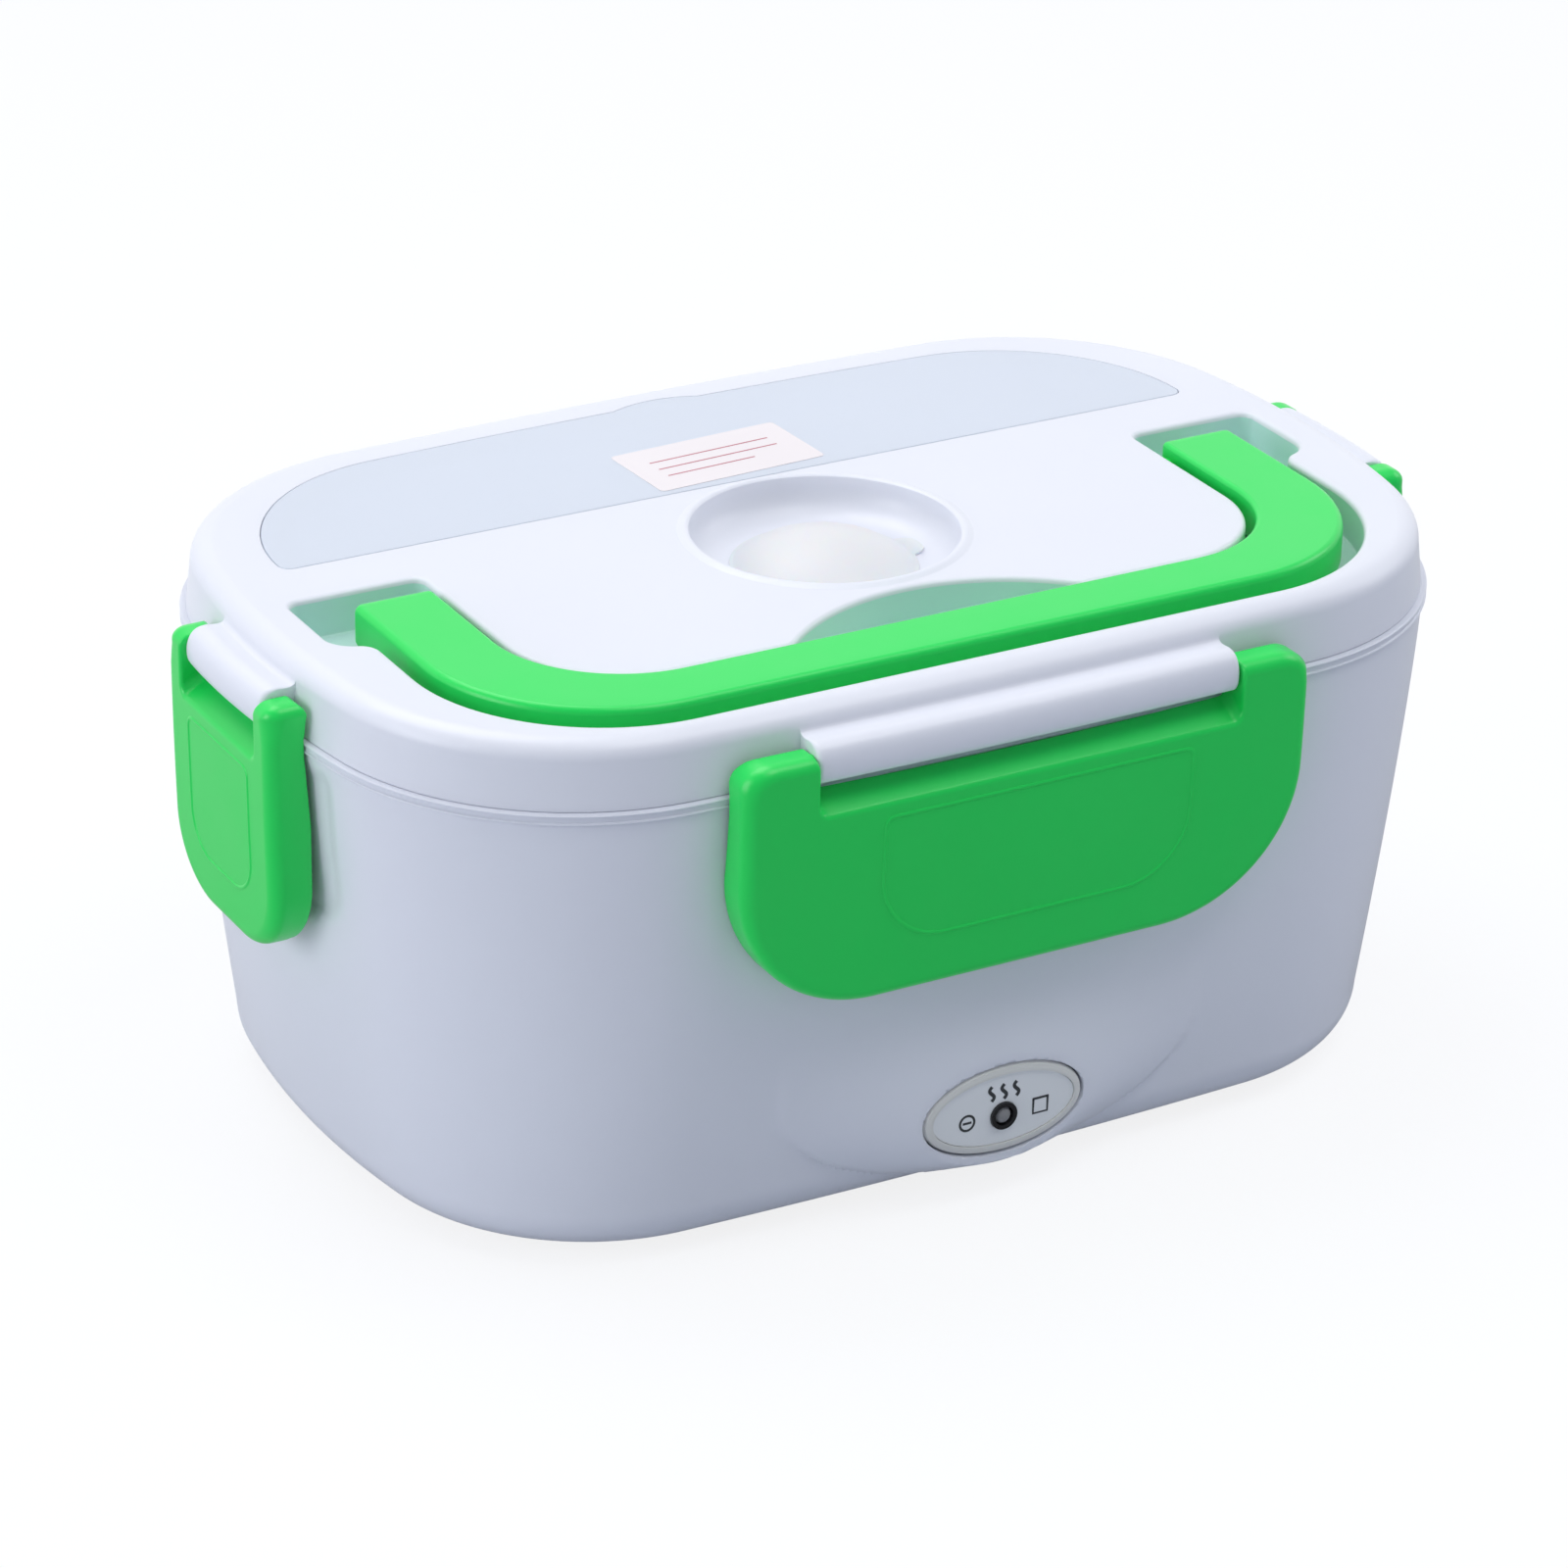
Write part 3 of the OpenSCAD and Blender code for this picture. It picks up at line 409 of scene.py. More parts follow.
def whole(rows):
    """The closed outline from one quarter; further columns are carried along."""
    def flip(sx, sy):
        signs = np.ones(rows.shape[1])
        signs[[0, 2]] = sx
        signs[[1, 3]] = sy
        return rows * signs

    return np.vstack([rows[:-1], flip(1, -1)[::-1][:-1], flip(-1, -1)[:-1], flip(-1, 1)[::-1][:-1]])


CORNER_FROM = math.atan2(1, 2 * BOW_Y / CORE_X)
CORNER_TO = math.atan2(2 * BOW_X / CORE_Y, 1)


def plain_outline(end=0.0):
    """The outline of body and rim, finer along the long side where the lamp pod stands out."""
    near = np.linspace(0, 41, 52, endpoint=False)
    beyond = np.linspace(41, CORE_X, 16, endpoint=False)
    corner = np.linspace(CORNER_FROM, CORNER_TO, 88)
    return whole(quarter(np.concatenate([near, beyond]), corner, np.linspace(CORE_Y, 0, 20)[1:], end))


def lug_places(end, stop, n):
    """Places along a side and how fully the lug stands out at each."""
    places = [(t, 1.0) for t in np.linspace(0, end - 2.5, n)]
    # a rounded end edge, a small fillet at its foot, then the plain wall
    for d in (1.0, 0.8, 0.6, 0.42, 0.28, 0.16, 0.07, 0.0):
        places.append((end - d, 1 - (1 - math.sqrt(1 - (1 - d) ** 2)) / 6.5))
    for d in (0.004, 0.35, 0.8, 1.4, 2.2):
        places.append((end + d, 0.03 * (1 - d / 2.2) ** 2))
    places += [(t, 0.0) for t in np.linspace(end + 4, stop, 5)]
    return places


def lug_outline():
    """The lid's outline with its four lugs; places on the core curve lie closer than on the wall."""
    front_spread = 1 + 2 * BOW_Y * CORNER_R / CORE_X ** 2
    side_spread = 1 + 2 * BOW_X * CORNER_R / CORE_Y ** 2
    front = lug_places(LUG_END, (CORE_X - 0.5) * front_spread, 14)
    side = lug_places(SIDE_LUG_END, (CORE_Y - 0.5) * side_spread, 8)[::-1]
    corner = np.linspace(CORNER_FROM, CORNER_TO, 60)
    rows = quarter([p[0] / front_spread for p in front], corner, [p[0] / side_spread for p in side])
    weight = [p[1] for p in front] + [0.0] * len(corner) + [p[1] for p in side]
    return whole(np.column_stack([rows, weight]))


def ring_at(shape, path, offset, z):
    """A ring at an offset from the rim's outline."""
    return shape.ring(at(path, CORNER_R + np.asarray(offset, float)), z)


# The lid

CHANNEL_RIM = [(1.0, TOP), (0.62, TOP - 0.08), (0.29, TOP - 0.29), (0.08, TOP - 0.62), (0, TOP - 1)]


def handle_channel():
    """Walls and floor of the channel that the handle lies in: white, with the green handle's reflection
    painted in as a tint.
    """
    s = Shape()
    foot = [(0, RECESS + 0.8), (-0.2, RECESS + 0.25), (-0.7, RECESS)]
    rings = sweep(s, channel_path(), CHANNEL_RIM[-1:] + foot)
    s.fill(rings[-1])
    return s.build("handle_channel", channel_mat, 30)


def channel_path():
    """Plan of the handle's channel with its end pockets and the finger recess."""
    half = np.vstack([
        np.array([[0, -65.5, 0, -1], [30, -65.5, 0, -1]]),
        arc(59.1, -29.5, 36, 270, 360, 1, 2.5),
        arc(99.1, -16.55, 4, 180, 107.8, -1, 8),
        arc(96.2, -7.5, 5.5, -72.2, 0, 1, 8),
        arc(99.2, 6.4, 2.5, 0, 90, 1, 12),
        arc(77.7, 6.4, 2.5, 90, 180, 1, 12),
        arc(52.6, -24.3, 22.6, 0, -90, -1, 3),
        arc(31.37, -42.9, 4, -90, -133.5, -1, 7),
        arc(0, -76, 41.6, 46.5, 90, 1, 1.5),
    ])
    keep = np.concatenate([[True], np.hypot(*np.diff(half[:, :2], axis=0).T) > 0.02])
    return mirrored(half[keep])


def spoon_half(notch_x, with_notch):
    """Right half of the spoon compartment's plan: straight front, round end, slightly curved back."""
    parts = [
        np.array([[0, 22.2, 0, -1], [45, 22.2, 0, -1]]),
        arc(93.493, 24.7, 2.5, -90, 1.13, 1, 11),
        arc(58, 24, 38, 1.13, 87.6, 1, 2),
    ]
    cy, r = 43.2, 22.0

    def back(x):
        return 63.24 - x * x / 2800

    meet = 0
    if with_notch:
        meet = max(x for x in np.linspace(4, 14, 2001)
                   if cy + math.sqrt(r * r - (x - notch_x) ** 2) >= back(x))
    xs = np.linspace(59.0, meet, 22)
    slope = xs / 1400
    size = np.hypot(1, slope)
    parts.append(np.stack([xs, back(xs), slope / size, 1 / size], 1))
    if with_notch:
        a0 = math.degrees(math.acos((meet - notch_x) / r))
        a1 = math.degrees(math.acos(-notch_x / r))
        bulge = arc(0, cy, r, a0, a1, 1, 2)
        bulge[:, 0] += notch_x
        parts.append(bulge[1:])
    half = np.vstack(parts)
    half[0, 0] = 0
    half[-1, 0] = 0
    return half


def spoon_path(with_notch=True):
    """Plan of the spoon compartment, with or without the finger notch at the back."""
    shift = 1.5 if with_notch else 0
    right = spoon_half(shift, with_notch)
    left = spoon_half(-shift, with_notch)[::-1] * [-1, 1, -1, 1]
    return np.vstack([right, left[1:-1]])


def spoon_well(shape, depth, drops):
    """Rings of the compartment's well, which comes closer to the edge along the front."""
    path = spoon_path(False)
    inset = 2.2 * np.clip(-path[:, 3], 0, 1) ** 4 - depth
    rings = [shape.ring(at(path, inset + o), z) for o, z in drops]
    shape.chain(rings)
    return rings


def circle(cx, cy, r, n=128):
    """A circle as a path with outward directions."""
    a = np.linspace(0, 2 * math.pi, n, endpoint=False)
    d = np.stack([np.cos(a), np.sin(a)], 1)
    return np.hstack([np.array([cx, cy]) + r * d, d])


# Section of a lug as offset from the outline and height above the lid's top: its curved
# outside, and from its lower edge back to the wall
LUG_OUTSIDE = [(-2.13, -3.34), (-1.72, -3.88), (-0.9, -4.1), (0.4, -4.0), (1.8, -3.84), (3.2, -4.08),
               (4.3, -4.8), (5.05, -6.1), (5.38, -7.8), (5.25, -9.5), (4.75, -10.65)]
LUG_UNDERSIDE = [(4.45, -10.92), (4.1, -11.0), (2.0, -11.0), (-1.0, -10.98), (-1.12, -11.4)]


def handle_rests(shape):
    """Two pads that the folded handle rests on."""
    for x in (-42, 42):
        pad = []
        for edge, z in ((0, RECESS - 0.3), (0, RECESS + 1.0), (0.2, RECESS + 1.2)):
            x0, x1 = x - 4 + edge, x + 4 - edge
            y0, y1 = -58.5 + edge, -51.7 - edge
            pad.append(shape.ring([(x0, y0), (x1, y0), (x1, y1), (x0, y1)], z))
        shape.solid(pad)


def lid_shell():
    """The lid with its shoulder, lugs, channel, spoon compartment and vent dish."""
    s = Shape()
    path = lug_outline()
    weight = path[:, 4]
    wall_top = TOP - 3.8
    shoulder = bend(-6.6, wall_top, 4.5, 3.8, 90, 7, 12)
    low_end = [(-1.12, RIM_Z + 0.2), (-1.25, RIM_Z + 0.06)]
    section = curve_through(LUG_OUTSIDE, 3)[1:] + LUG_UNDERSIDE
    lug = [(o, TOP + z) for o, z in section] + low_end
    wall = np.linspace(wall_top, RIM_Z + 0.2, len(lug) - 1)
    plain = [(-2.1 + (wall_top - z) / 8.6, z) for z in wall] + low_end[-1:]
    rings = [ring_at(s, path, o, z) for o, z in shoulder]
    for (po, pz), (lo, lz) in zip(plain, lug):
        rings.append(ring_at(s, path, po + (lo - po) * weight, pz + (lz - pz) * weight))
    # the inner skin follows, up to the underside
    under = TOP - 2
    rings += [ring_at(s, path, o, z) for o, z in ((-3.3, RIM_Z + 0.06), (-4.2, TOP - 4.6), (-6.4, under))]
    s.chain(rings)

    channel = channel_path()
    c = sweep(s, channel, CHANNEL_RIM)
    spoon = spoon_path()
    ledge = TOP - 1.7
    p = sweep(s, spoon, [(0.22, TOP), (0.05, TOP - 0.06), (0, TOP - 0.22), (0, ledge)])
    wells = spoon_well(s, 3, [(0.0, ledge), (0.0, RECESS + 1.2), (-0.35, RECESS + 0.35),
                              (-1.2, RECESS)])
    s.fill(p[-1], wells[0])
    s.fill(wells[-1])
    dish = circle(0, VENT_Y, DISH_RADIUS)
    lip = [(2.5, TOP), (2.1, TOP + 0.12), (1.6, TOP + 0.38), (1.1, TOP + 0.55),
           (0.7, TOP + 0.6), (0.35, TOP + 0.5), (0.1, TOP + 0.25), (0, TOP - 0.2)]
    bowl = [(0, DISH_Z + 5.4)] + bend(-6.0, DISH_Z + 5.4, 6.0, 5.4, -8, -90, 14)
    d = sweep(s, dish, lip + bowl + [(-19.9, DISH_Z), (-19.9, DISH_Z - 1.2)])
    s.fill(rings[0], c[0], p[0], d[0])

    # the underside, with tubs below the recesses
    tubs = []
    for route in (channel, spoon):
        t = sweep(s, route, [(1.2, under), (1.2, RECESS - 1.4)])
        s.fill(t[-1])
        tubs.append(t[0])
    t = sweep(s, dish, [(1.2, under), (1.2, DISH_Z - 1.2)])
    s.fill(t[-1], d[-1])
    tubs.append(t[0])
    s.fill(rings[-1], *tubs)
    handle_rests(s)
    return s.build("lid_top", white, 30)


def spoon_cover():
    """The translucent cover and the lip below it."""
    s = Shape()
    low = TOP - 1.6
    rings = sweep(s, spoon_path(), [(-1.0, low), (-0.12, low), (-0.12, TOP - 0.25),
                                    (-0.24, TOP - 0.05), (-0.5, TOP)])
    s.fill(rings[-1])
    lip = spoon_well(s, 3.4, [(0, low), (0, TOP - 4), (-1.2, TOP - 4), (-1.2, low)])
    s.fill(rings[0], lip[0])
    s.fill(lip[-1])
    return s.build("spoon_compartment_cover", cover_mat, 30)


def cover_label():
    """A blank paper label with three plain rules."""
    turn = math.radians(3)

    def placed(x, y):
        return (-0.7 + x * math.cos(turn) - y * math.sin(turn),
                34.3 + x * math.sin(turn) + y * math.cos(turn))

    sheet = Shape()
    loop = []
    for cx, cy, a in ((17, 8.6, 0), (-17, 8.6, 90), (-17, -8.6, 180), (17, -8.6, 270)):
        for t in np.radians(np.linspace(a, a + 90, 5)):
            loop.append(placed(cx + math.cos(t), cy + math.sin(t)))
    low = sheet.ring(loop, TOP + 0.01)
    high = sheet.ring(loop, TOP + 0.1)
    sheet.bridge(low, high)
    sheet.fill(low)
    sheet.fill(high)
    rules = Shape()
    thin = 0.19
    for y, x0, x1 in ((3.2, -13, 13), (-0.2, -13, 13), (-3.6, -13, 6)):
        box = [placed(x0, y - thin), placed(x1, y - thin), placed(x1, y + thin), placed(x0, y + thin)]
        rules.solid([rules.ring(box, TOP + 0.09), rules.ring(box, TOP + 0.13)])
    return [sheet.build("cover_label_sheet", label_mat, 30, False),
            rules.build("cover_label_rules", rule_mat, 30, False)]


def vent_plug():
    """A soft dome with a thin brim, a pull tab and a stem."""
    s = Shape()
    a = np.linspace(0, 2 * math.pi, 112, endpoint=False)
    turned = np.degrees(np.arctan2(np.sin(a), np.cos(a)))
    tab = np.clip(1 - (np.abs(turned) / 11) ** 4, 0, 1) ** 0.5
    sphere_r = (DOME_RADIUS ** 2 + DOME_HEIGHT ** 2) / (2 * DOME_HEIGHT)
    profile = [(r, math.sqrt(sphere_r ** 2 - r * r) - sphere_r + DOME_HEIGHT)
               for r in (0.8, 2.5, 4.5, 6.5, 8.5, 10.5, 12.2, 13.8, 15.2, 16.1)]
    profile += [(16.55, 0.78), (16.85, 0.6), (17.2, 0.54), (17.45, 0.42), (DOME_RADIUS, 0.25),
                (17.4, 0.02)]
    rings = []
    for r, z in profile:
        reach = r + np.clip((r - 16.55) / 0.9, 0, 1) * 2.7 * tab
        lift = z + np.clip((r - 16.0) / 0.9, 0, 1) * 0.35 * tab * (z > 0.1)
        xy = np.stack([reach * np.cos(a), VENT_Y + reach * np.sin(a)], 1)
        rings.append(s.ring(xy, DISH_Z + lift))
    for r, z in ((5.2, 0.0), (4.7, -0.2), (4.6, -2.6), (4.2, -3.0)):
        xy = np.stack([r * np.cos(a), VENT_Y + r * np.sin(a)], 1)
        rings.append(s.ring(xy, DISH_Z + z))
    s.solid(rings)
    return s.build("vent_dome", plug_mat, 40)


# The handle

def carry_handle():
    """The bow-shaped handle, lofted from one arm's end to the other, and its pivots."""
    s = Shape()
    z0 = SWING_Z - 3.2
    z1 = TOP + 1.2
    # radius of an arm's end about its pivot, and of the top's inner and outer edge
    eye = 3.9
    near, far = 0.9, 1.4
    turns = np.radians((20, 45, 70, 90))
    # middle and radius of the outer and the inner edge's corner arc
    edges = ((58.1, -27.3, 34.2), (52.6, -24.3, 24.4))
    stations = [[(cx * t, cy - r) for cx, cy, r in edges] for t in np.linspace(0, 1, 15)[:-1]]
    stations += [[(cx + r * math.cos(a), cy + r * math.sin(a)) for cx, cy, r in edges]
                 for a in np.radians(np.linspace(-90, 0, 33))]
    stations += [[(cx + r, cy + (SWING_Y - cy) * t) for cx, cy, r in edges]
                 for t in np.linspace(0, 1, 8)[1:]]
    stations += [[(cx + r, y) for cx, cy, r in edges]
                 for y in (-1.2, -0.4, 0.1, 0.5, 0.85, 1.12, 1.34, 1.5, 1.6)]
    half = []
    for (ox, oy), (ix, iy) in stations:
        y = min(oy, iy)
        past = max(0, y + 0.4)
        inset = 2 - math.sqrt(max(0, 4 - past * past)) if y > -0.4 else 0
        round_low = max(0, y - SWING_Y)
        low = SWING_Z - math.sqrt(max(0, eye ** 2 - round_low ** 2)) if y > SWING_Y else z0
        low = max(low, z0)
        high = z1 - inset
        width = math.hypot(ox - ix, oy - iy)
        dx, dy = (ox - ix) / width, (oy - iy) / width
        e = min(inset, 1.9)
        lift = min(1.0, (high - low) / 3)
        # the section, as distance from the inner edge and height
        cut = [(1.0 + e, low), (0.3 + e, low + 0.3 * lift), (e, low + lift), (e, high - near)]
        cut += [(e + near * (1 - math.cos(t)), high - near + near * math.sin(t)) for t in turns]
        cut += [(e + near + (width - 2 * e - near - far) * f, high) for f in (0.35, 0.65)]
        cut += [(width - e - far * (1 - math.cos(t)), high - far + far * math.sin(t))
                for t in turns[::-1]]
        cut += [(width - e, high - far), (width - e, low + lift),
                (width - 0.3 - e, low + 0.3 * lift), (width - 1.0 - e, low)]
        half.append(np.array([(ix + dx * d, iy + dy * d, z) for d, z in cut]))
    full = [h * [-1, 1, 1] for h in half[:0:-1]] + half
    s.solid([s.add(h) for h in full])
    # pivots in the lid
    a = np.linspace(0, 2 * math.pi, 32, endpoint=False)
    for side in (-1, 1):
        s.solid([s.add(np.stack([np.full(32, side * x), SWING_Y + r * np.cos(a),
                                 SWING_Z + r * np.sin(a)], 1))
                 for x, r in ((78.0, 2.2), (73.6, 2.2), (73.2, 1.8))])
    return s.build("handle_grip", green, 35)


# The body

def taper(z):
    """1 at the bottom of the straight wall and 0 at its top."""
    return np.clip(1 - (z - LOW_Z) / (BODY_TOP - LOW_Z), 0, 1) ** 1.3


def wall_r(z):
    """Corner radius of the body's wall at a height."""
    return CORNER_R - 0.7 - DRAFT * taper(z)


def pod_surface(x, z):
    """How far behind the lamp panel the pod's surface lies at (x, z), or None outside it."""
    # ellipses from far outside to the panel's edge: half sizes, depth and middle height
    levels = [(46.0, 25.5, 9.4, 30.2)]
    for t in np.linspace(0, 1, 25):
        levels.append((44.0 - 26.1 * t, 24.0 - 13.2 * t, 5.2 * (1 - t), 28.7 - 10.5 * t))
    best = None
    for k, (a, b, y, zc) in enumerate(levels):
        inside = math.hypot(x / a, (z - zc) / b)
        if inside > 1:
            if best is None:
                return None
            a0, b0, y0, zc0 = levels[k - 1]
            before = math.hypot(x / a0, (z - zc0) / b0)
            f = (1 - before) / max(1e-9, inside - before)
            return y0 + (y - y0) * f
        best = y
    return best


def side_recess(y, z):
    """0 to 1: the shallow recess that each side latch lies in."""
    half, low, r = 27.2, RIM_Z - 34.6, 9.0
    qx = abs(y) - half + r
    qz = low + r - z
    inside = math.hypot(max(qx, 0), max(qz, 0)) + min(max(qx, qz), 0) - r
    deep = min(1.0, max(0.0, 0.5 - inside / 1.9))
    top = min(1.0, max(0.0, (RIM_Z - 3.6 - z) / 3.0))
    return deep * deep * (3 - 2 * deep) * top


def outer_shell():
    """The body shell with the lamp pod, the recesses of the side latches and its two openings."""
    s = Shape()
    levels = []
    for a in np.linspace(PART_ANGLE, 0, 14)[:-1]:
        t = math.radians(a)
        levels.append((wall_r(LOW_Z) - LOW_ROUND * (1 - math.cos(t)),
                       LOW_Z - LOW_ROUND * math.sin(t)))
    top = BODY_TOP
    heights = np.concatenate([np.linspace(LOW_Z, 31, 32), np.linspace(31, top - 0.45, 56)[1:]])
    for z in heights:
        levels.append((wall_r(z), z))
    levels.append((wall_r(top) - 0.1, top - 0.24))
    levels.append((wall_r(top) - 0.36, top - 0.07))
    levels.append((wall_r(top) - 1.2, top))
    outer = []
    for r, z in levels:
        path = plain_outline(END_DRAFT * taper(z))
        xy = at(path, r)
        for i, (x, y) in enumerate(xy):
            at_front = y < -50 and abs(x) < 47 and z < 54
            pod = pod_surface(x, z) if at_front else None
            if pod is not None:
                front = LAMP_Y + pod
                share = max(0.0, POD_BLEND - abs(y - front)) / POD_BLEND
                xy[i, 1] = min(y, front) - share ** 3 * POD_BLEND / 6
            elif abs(x) > 80 and abs(y) < 30:
                xy[i] -= path[i, 2:4] * RECESS_DEPTH * side_recess(y, z)
        outer.append(s.ring(xy, z))
    s.chain(outer)
    inner = []
    for r, z in ((wall_r(top) - 2.2, top), (wall_r(60) - 2.2, 60), (wall_r(30) - 2.2, 30),
                 (wall_r(LOW_Z) - 2.2, LOW_Z), (levels[6][0] - 2.2, levels[6][1]),
                 (levels[0][0] - 2.2, levels[0][1])):
        inner.append(s.ring(at(plain_outline(END_DRAFT * taper(z)), r), z))
    s.bridge(outer[-1], inner[0])
    s.chain(inner)
    s.bridge(inner[-1], outer[0])
    shell = s.build("body_shell", white, 28, False)
    cut_openings(shell)
    shell.modifiers.new("weighted", "WEIGHTED_NORMAL").keep_sharp = True
    return shell


def cut_openings(shell):
    """The openings for the lamp bezel and the inlet."""
    cutter = Shape()
    a = np.linspace(0, 2 * math.pi, 96, endpoint=False)
    cutter.solid([cutter.add(np.stack([16.9 * np.cos(a), np.full(96, y), LAMP_Z + 9.0 * np.sin(a)], 1))
                  for y in (LAMP_Y - 4, LAMP_Y + 14)])
    inlet_lo, inlet_hi = span("inlet_socket")
    mid = (inlet_lo[2] + inlet_hi[2]) / 2
    face = HALF_Y - 5.9
    for w, h, y0, y1 in ((11.2, 7.2, face - 8, face + 0.5), (14.2, 9.7, face, HALF_Y + 2)):
        cutter.solid([cutter.add([(-w, y, mid - h), (w, y, mid - h), (w, y, mid + h), (-w, y, mid + h)])
                      for y in (y0, y1)])
    tool = cutter.build("cutter", white, 30, False)
    cut = shell.modifiers.new("openings", "BOOLEAN")
    cut.object = tool
    cut.operation = "DIFFERENCE"
    cut.solver = "EXACT"
    cut.use_self = True
    apply_modifiers(shell)
    bpy.data.objects.remove(tool)


def apply_modifiers(piece):
    """Keeps the modified mesh and drops the modifiers."""
    bpy.context.view_layer.update()
    graph = bpy.context.evaluated_depsgraph_get()
    mesh = bpy.data.meshes.new_from_object(piece.evaluated_get(graph))
    piece.modifiers.clear()
    piece.data = mesh


def catch_ribs():
    """The four ribs that the latches snap over."""
    s = Shape()
    # offset from the rim's outline, and height from the rim's top
    profile = [(-1.5, -12.9), (0.9, -12.8), (1.4, -12.4), (1.4, -10.3), (1.1, -10.0), (-1.5, -9.8)]
    for long, core, bow, across in ((30, CORE_X, BOW_Y, CORE_Y), (10, CORE_Y, BOW_X, CORE_X)):
        for side in (-1, 1):
            rings = []
            for t in np.linspace(-long, long, 25):
                edge = across + bow * (1 - (t / core) ** 2) + CORNER_R
                row = [(t, side * (edge + o), RIM_Z + z) for o, z in profile]
                if across == CORE_X:
                    row = [(out, along, z) for along, out, z in row]
                rings.append(s.add(row))
            s.solid(rings)
    return s.build("catch_ribs", white, 30, False)


def chamber_liner():
    """The heated chamber, whose flange is the rim band, with its screw posts."""
    s = Shape()
    path = plain_outline()
    zt = BODY_TOP
    floor = FLOOR_LOW + 1.8
    inside = [(-16, floor), (-14.6, floor + 0.3), (-12.9, floor + 1.1), (-11.4, floor + 2.8),
              (-10.4, floor + 5.4), (-7.4, zt), (-7.4, RIM_Z - 0.3), (-7.1, RIM_Z)]
    band = [(-0.55, RIM_Z), (-0.16, RIM_Z - 0.07), (0, RIM_Z - 0.24), (-0.1, RIM_Z - 0.42),
            (-0.34, RIM_Z - 0.54), (-0.34, zt + 0.58), (-0.1, zt + 0.44), (0, zt + 0.26),
            (-0.12, zt + 0.08), (-0.4, zt)]
    outside = [(-3.4, zt), (-3.4, zt - 2.6), (-4.6, zt - 2.6), (-4.6, zt), (-5.6, zt),
               (-8.6, FLOOR_LOW + 5), (-10.6, FLOOR_LOW + 1.4), (-14, FLOOR_LOW)]
    rings = [ring_at(s, path, o, z) for o, z in inside + band + outside]
    s.chain(rings)
    hole = sweep(s, circle(0, 0, 40), [(0, floor), (0, FLOOR_LOW)])
    s.fill(rings[0], hole[0])
    s.fill(rings[-1], hole[1])
    # screw posts for the base cover and for the heater's bracket
    posts = [(x, y, 4.0, 3.6) for x in (43 - HALF_X, HALF_X - 43) for y in (39 - HALF_Y, HALF_Y - 39)]
    for x, y, r, z0 in posts + [(-52, 0, 3.5, 20.0), (52, 0, 3.5, 20.0)]:
        post = circle(x, y, r, 40)
        bore = circle(x, y, 1.2, 24)
        p = sweep(s, post, [(0, FLOOR_LOW + 0.8), (0, z0 + 0.3), (-0.3, z0)])
        b = sweep(s, bore, [(0, z0), (0, z0 + 8)])
        s.fill(p[-1], b[0])
        s.cap(p[0])
        s.cap(b[-1])
    return s.build("chamber", liner_mat, 30)


# The latches, made from distance fields

def round_join(a, b, r):
    """Where both distances hold, with an edge radius of r."""
    return np.minimum(-r, np.maximum(a, b)) + np.hypot(np.maximum(a + r, 0), np.maximum(b + r, 0))


def latch_face(z, curve):
    """How far out the face stands: slightly curved and drawn in towards the bottom."""
    return FACE_OUT - curve * np.maximum(CURVE_TOP - z, 0) ** 2


def latch_field(half, ear, low_r, bow, core, end, curve):
    """A distance field over (x, u, z), where u is how far out from the middle of the rim's side.

    low_r is the radius of the lower corners, bow and core the curve of the side, end its draft.
    """
    z_low = PIVOT_Z - 48.3
    z_top = PIVOT_Z + 3.8
    notch_z = PIVOT_Z - 9.3
    notch_x = half - ear
    rise = 0.55
    top_r = min(6.5, ear * 0.5)
    # a side latch lies in its recess and doesn't follow the wall all the way in
    clear = 0.2 - (RECESS_DEPTH if end else 0)
    deepest = -0.7 if end else -9

    def corner(a, b, r):
        outside = np.hypot(np.maximum(a + r, 0), np.maximum(b + r, 0))
        return outside + np.minimum(np.maximum(a + r, b + r), 0) - r

    def field(x, u, z):
        ax = np.abs(x)
        face = latch_face(z, curve)
        sheet = np.maximum(corner(ax - half, z_low - z, low_r), corner(ax - half, z - z_top, top_r))
        edge = 2.6 + 0.9 * np.clip((z - TOP + 12) / 4, 0, 1)
        body = round_join(sheet, u - face, edge)
        # the back of the ears is round about the pivot
        ear_back = np.hypot(u - PIVOT_OUT, z - PIVOT_Z) - 4.5
        body = np.where((u < PIVOT_OUT) & (z > PIVOT_Z), np.maximum(body, ear_back), body)
        # it reaches in as far as the body, the rim and the lid let it
        wall = wall_r(z) - CORNER_R + clear - end * taper(z)
        past_rim = np.interp(z, [RIM_Z - 16, RIM_Z - 2.3, RIM_Z + 0.5, RIM_Z + 6], [0, 1, 1, 0])
        wall = np.maximum(wall, deepest)
        reach = np.where(z > RIM_Z, -0.3, wall) * (1 - past_rim) + 0.35 * past_rim
        reach = reach - bow * (ax / core) ** 2
        body = round_join(body, reach - u, 0.5)
        # notch between the ears, whose floor rises inwards below the lug
        floor = (notch_z + (FACE_OUT - u) * rise - z) / math.hypot(1, rise)
        notch = round_join(ax - notch_x, floor, 1.8)
        body = round_join(body, -notch, 0.6)
        # nothing behind the lug
        body = np.maximum(body, -np.maximum(ax - notch_x, u - 0.25 + bow * (ax / core) ** 2))
        # hollow back
        under = z - (notch_z - 2.2 + (FACE_OUT - u) * 0.35)
        hollow = np.maximum.reduce([sheet + 2.3, under, u - face + 2.3])
        return np.maximum(body, -hollow)

    return field, z_low, z_top


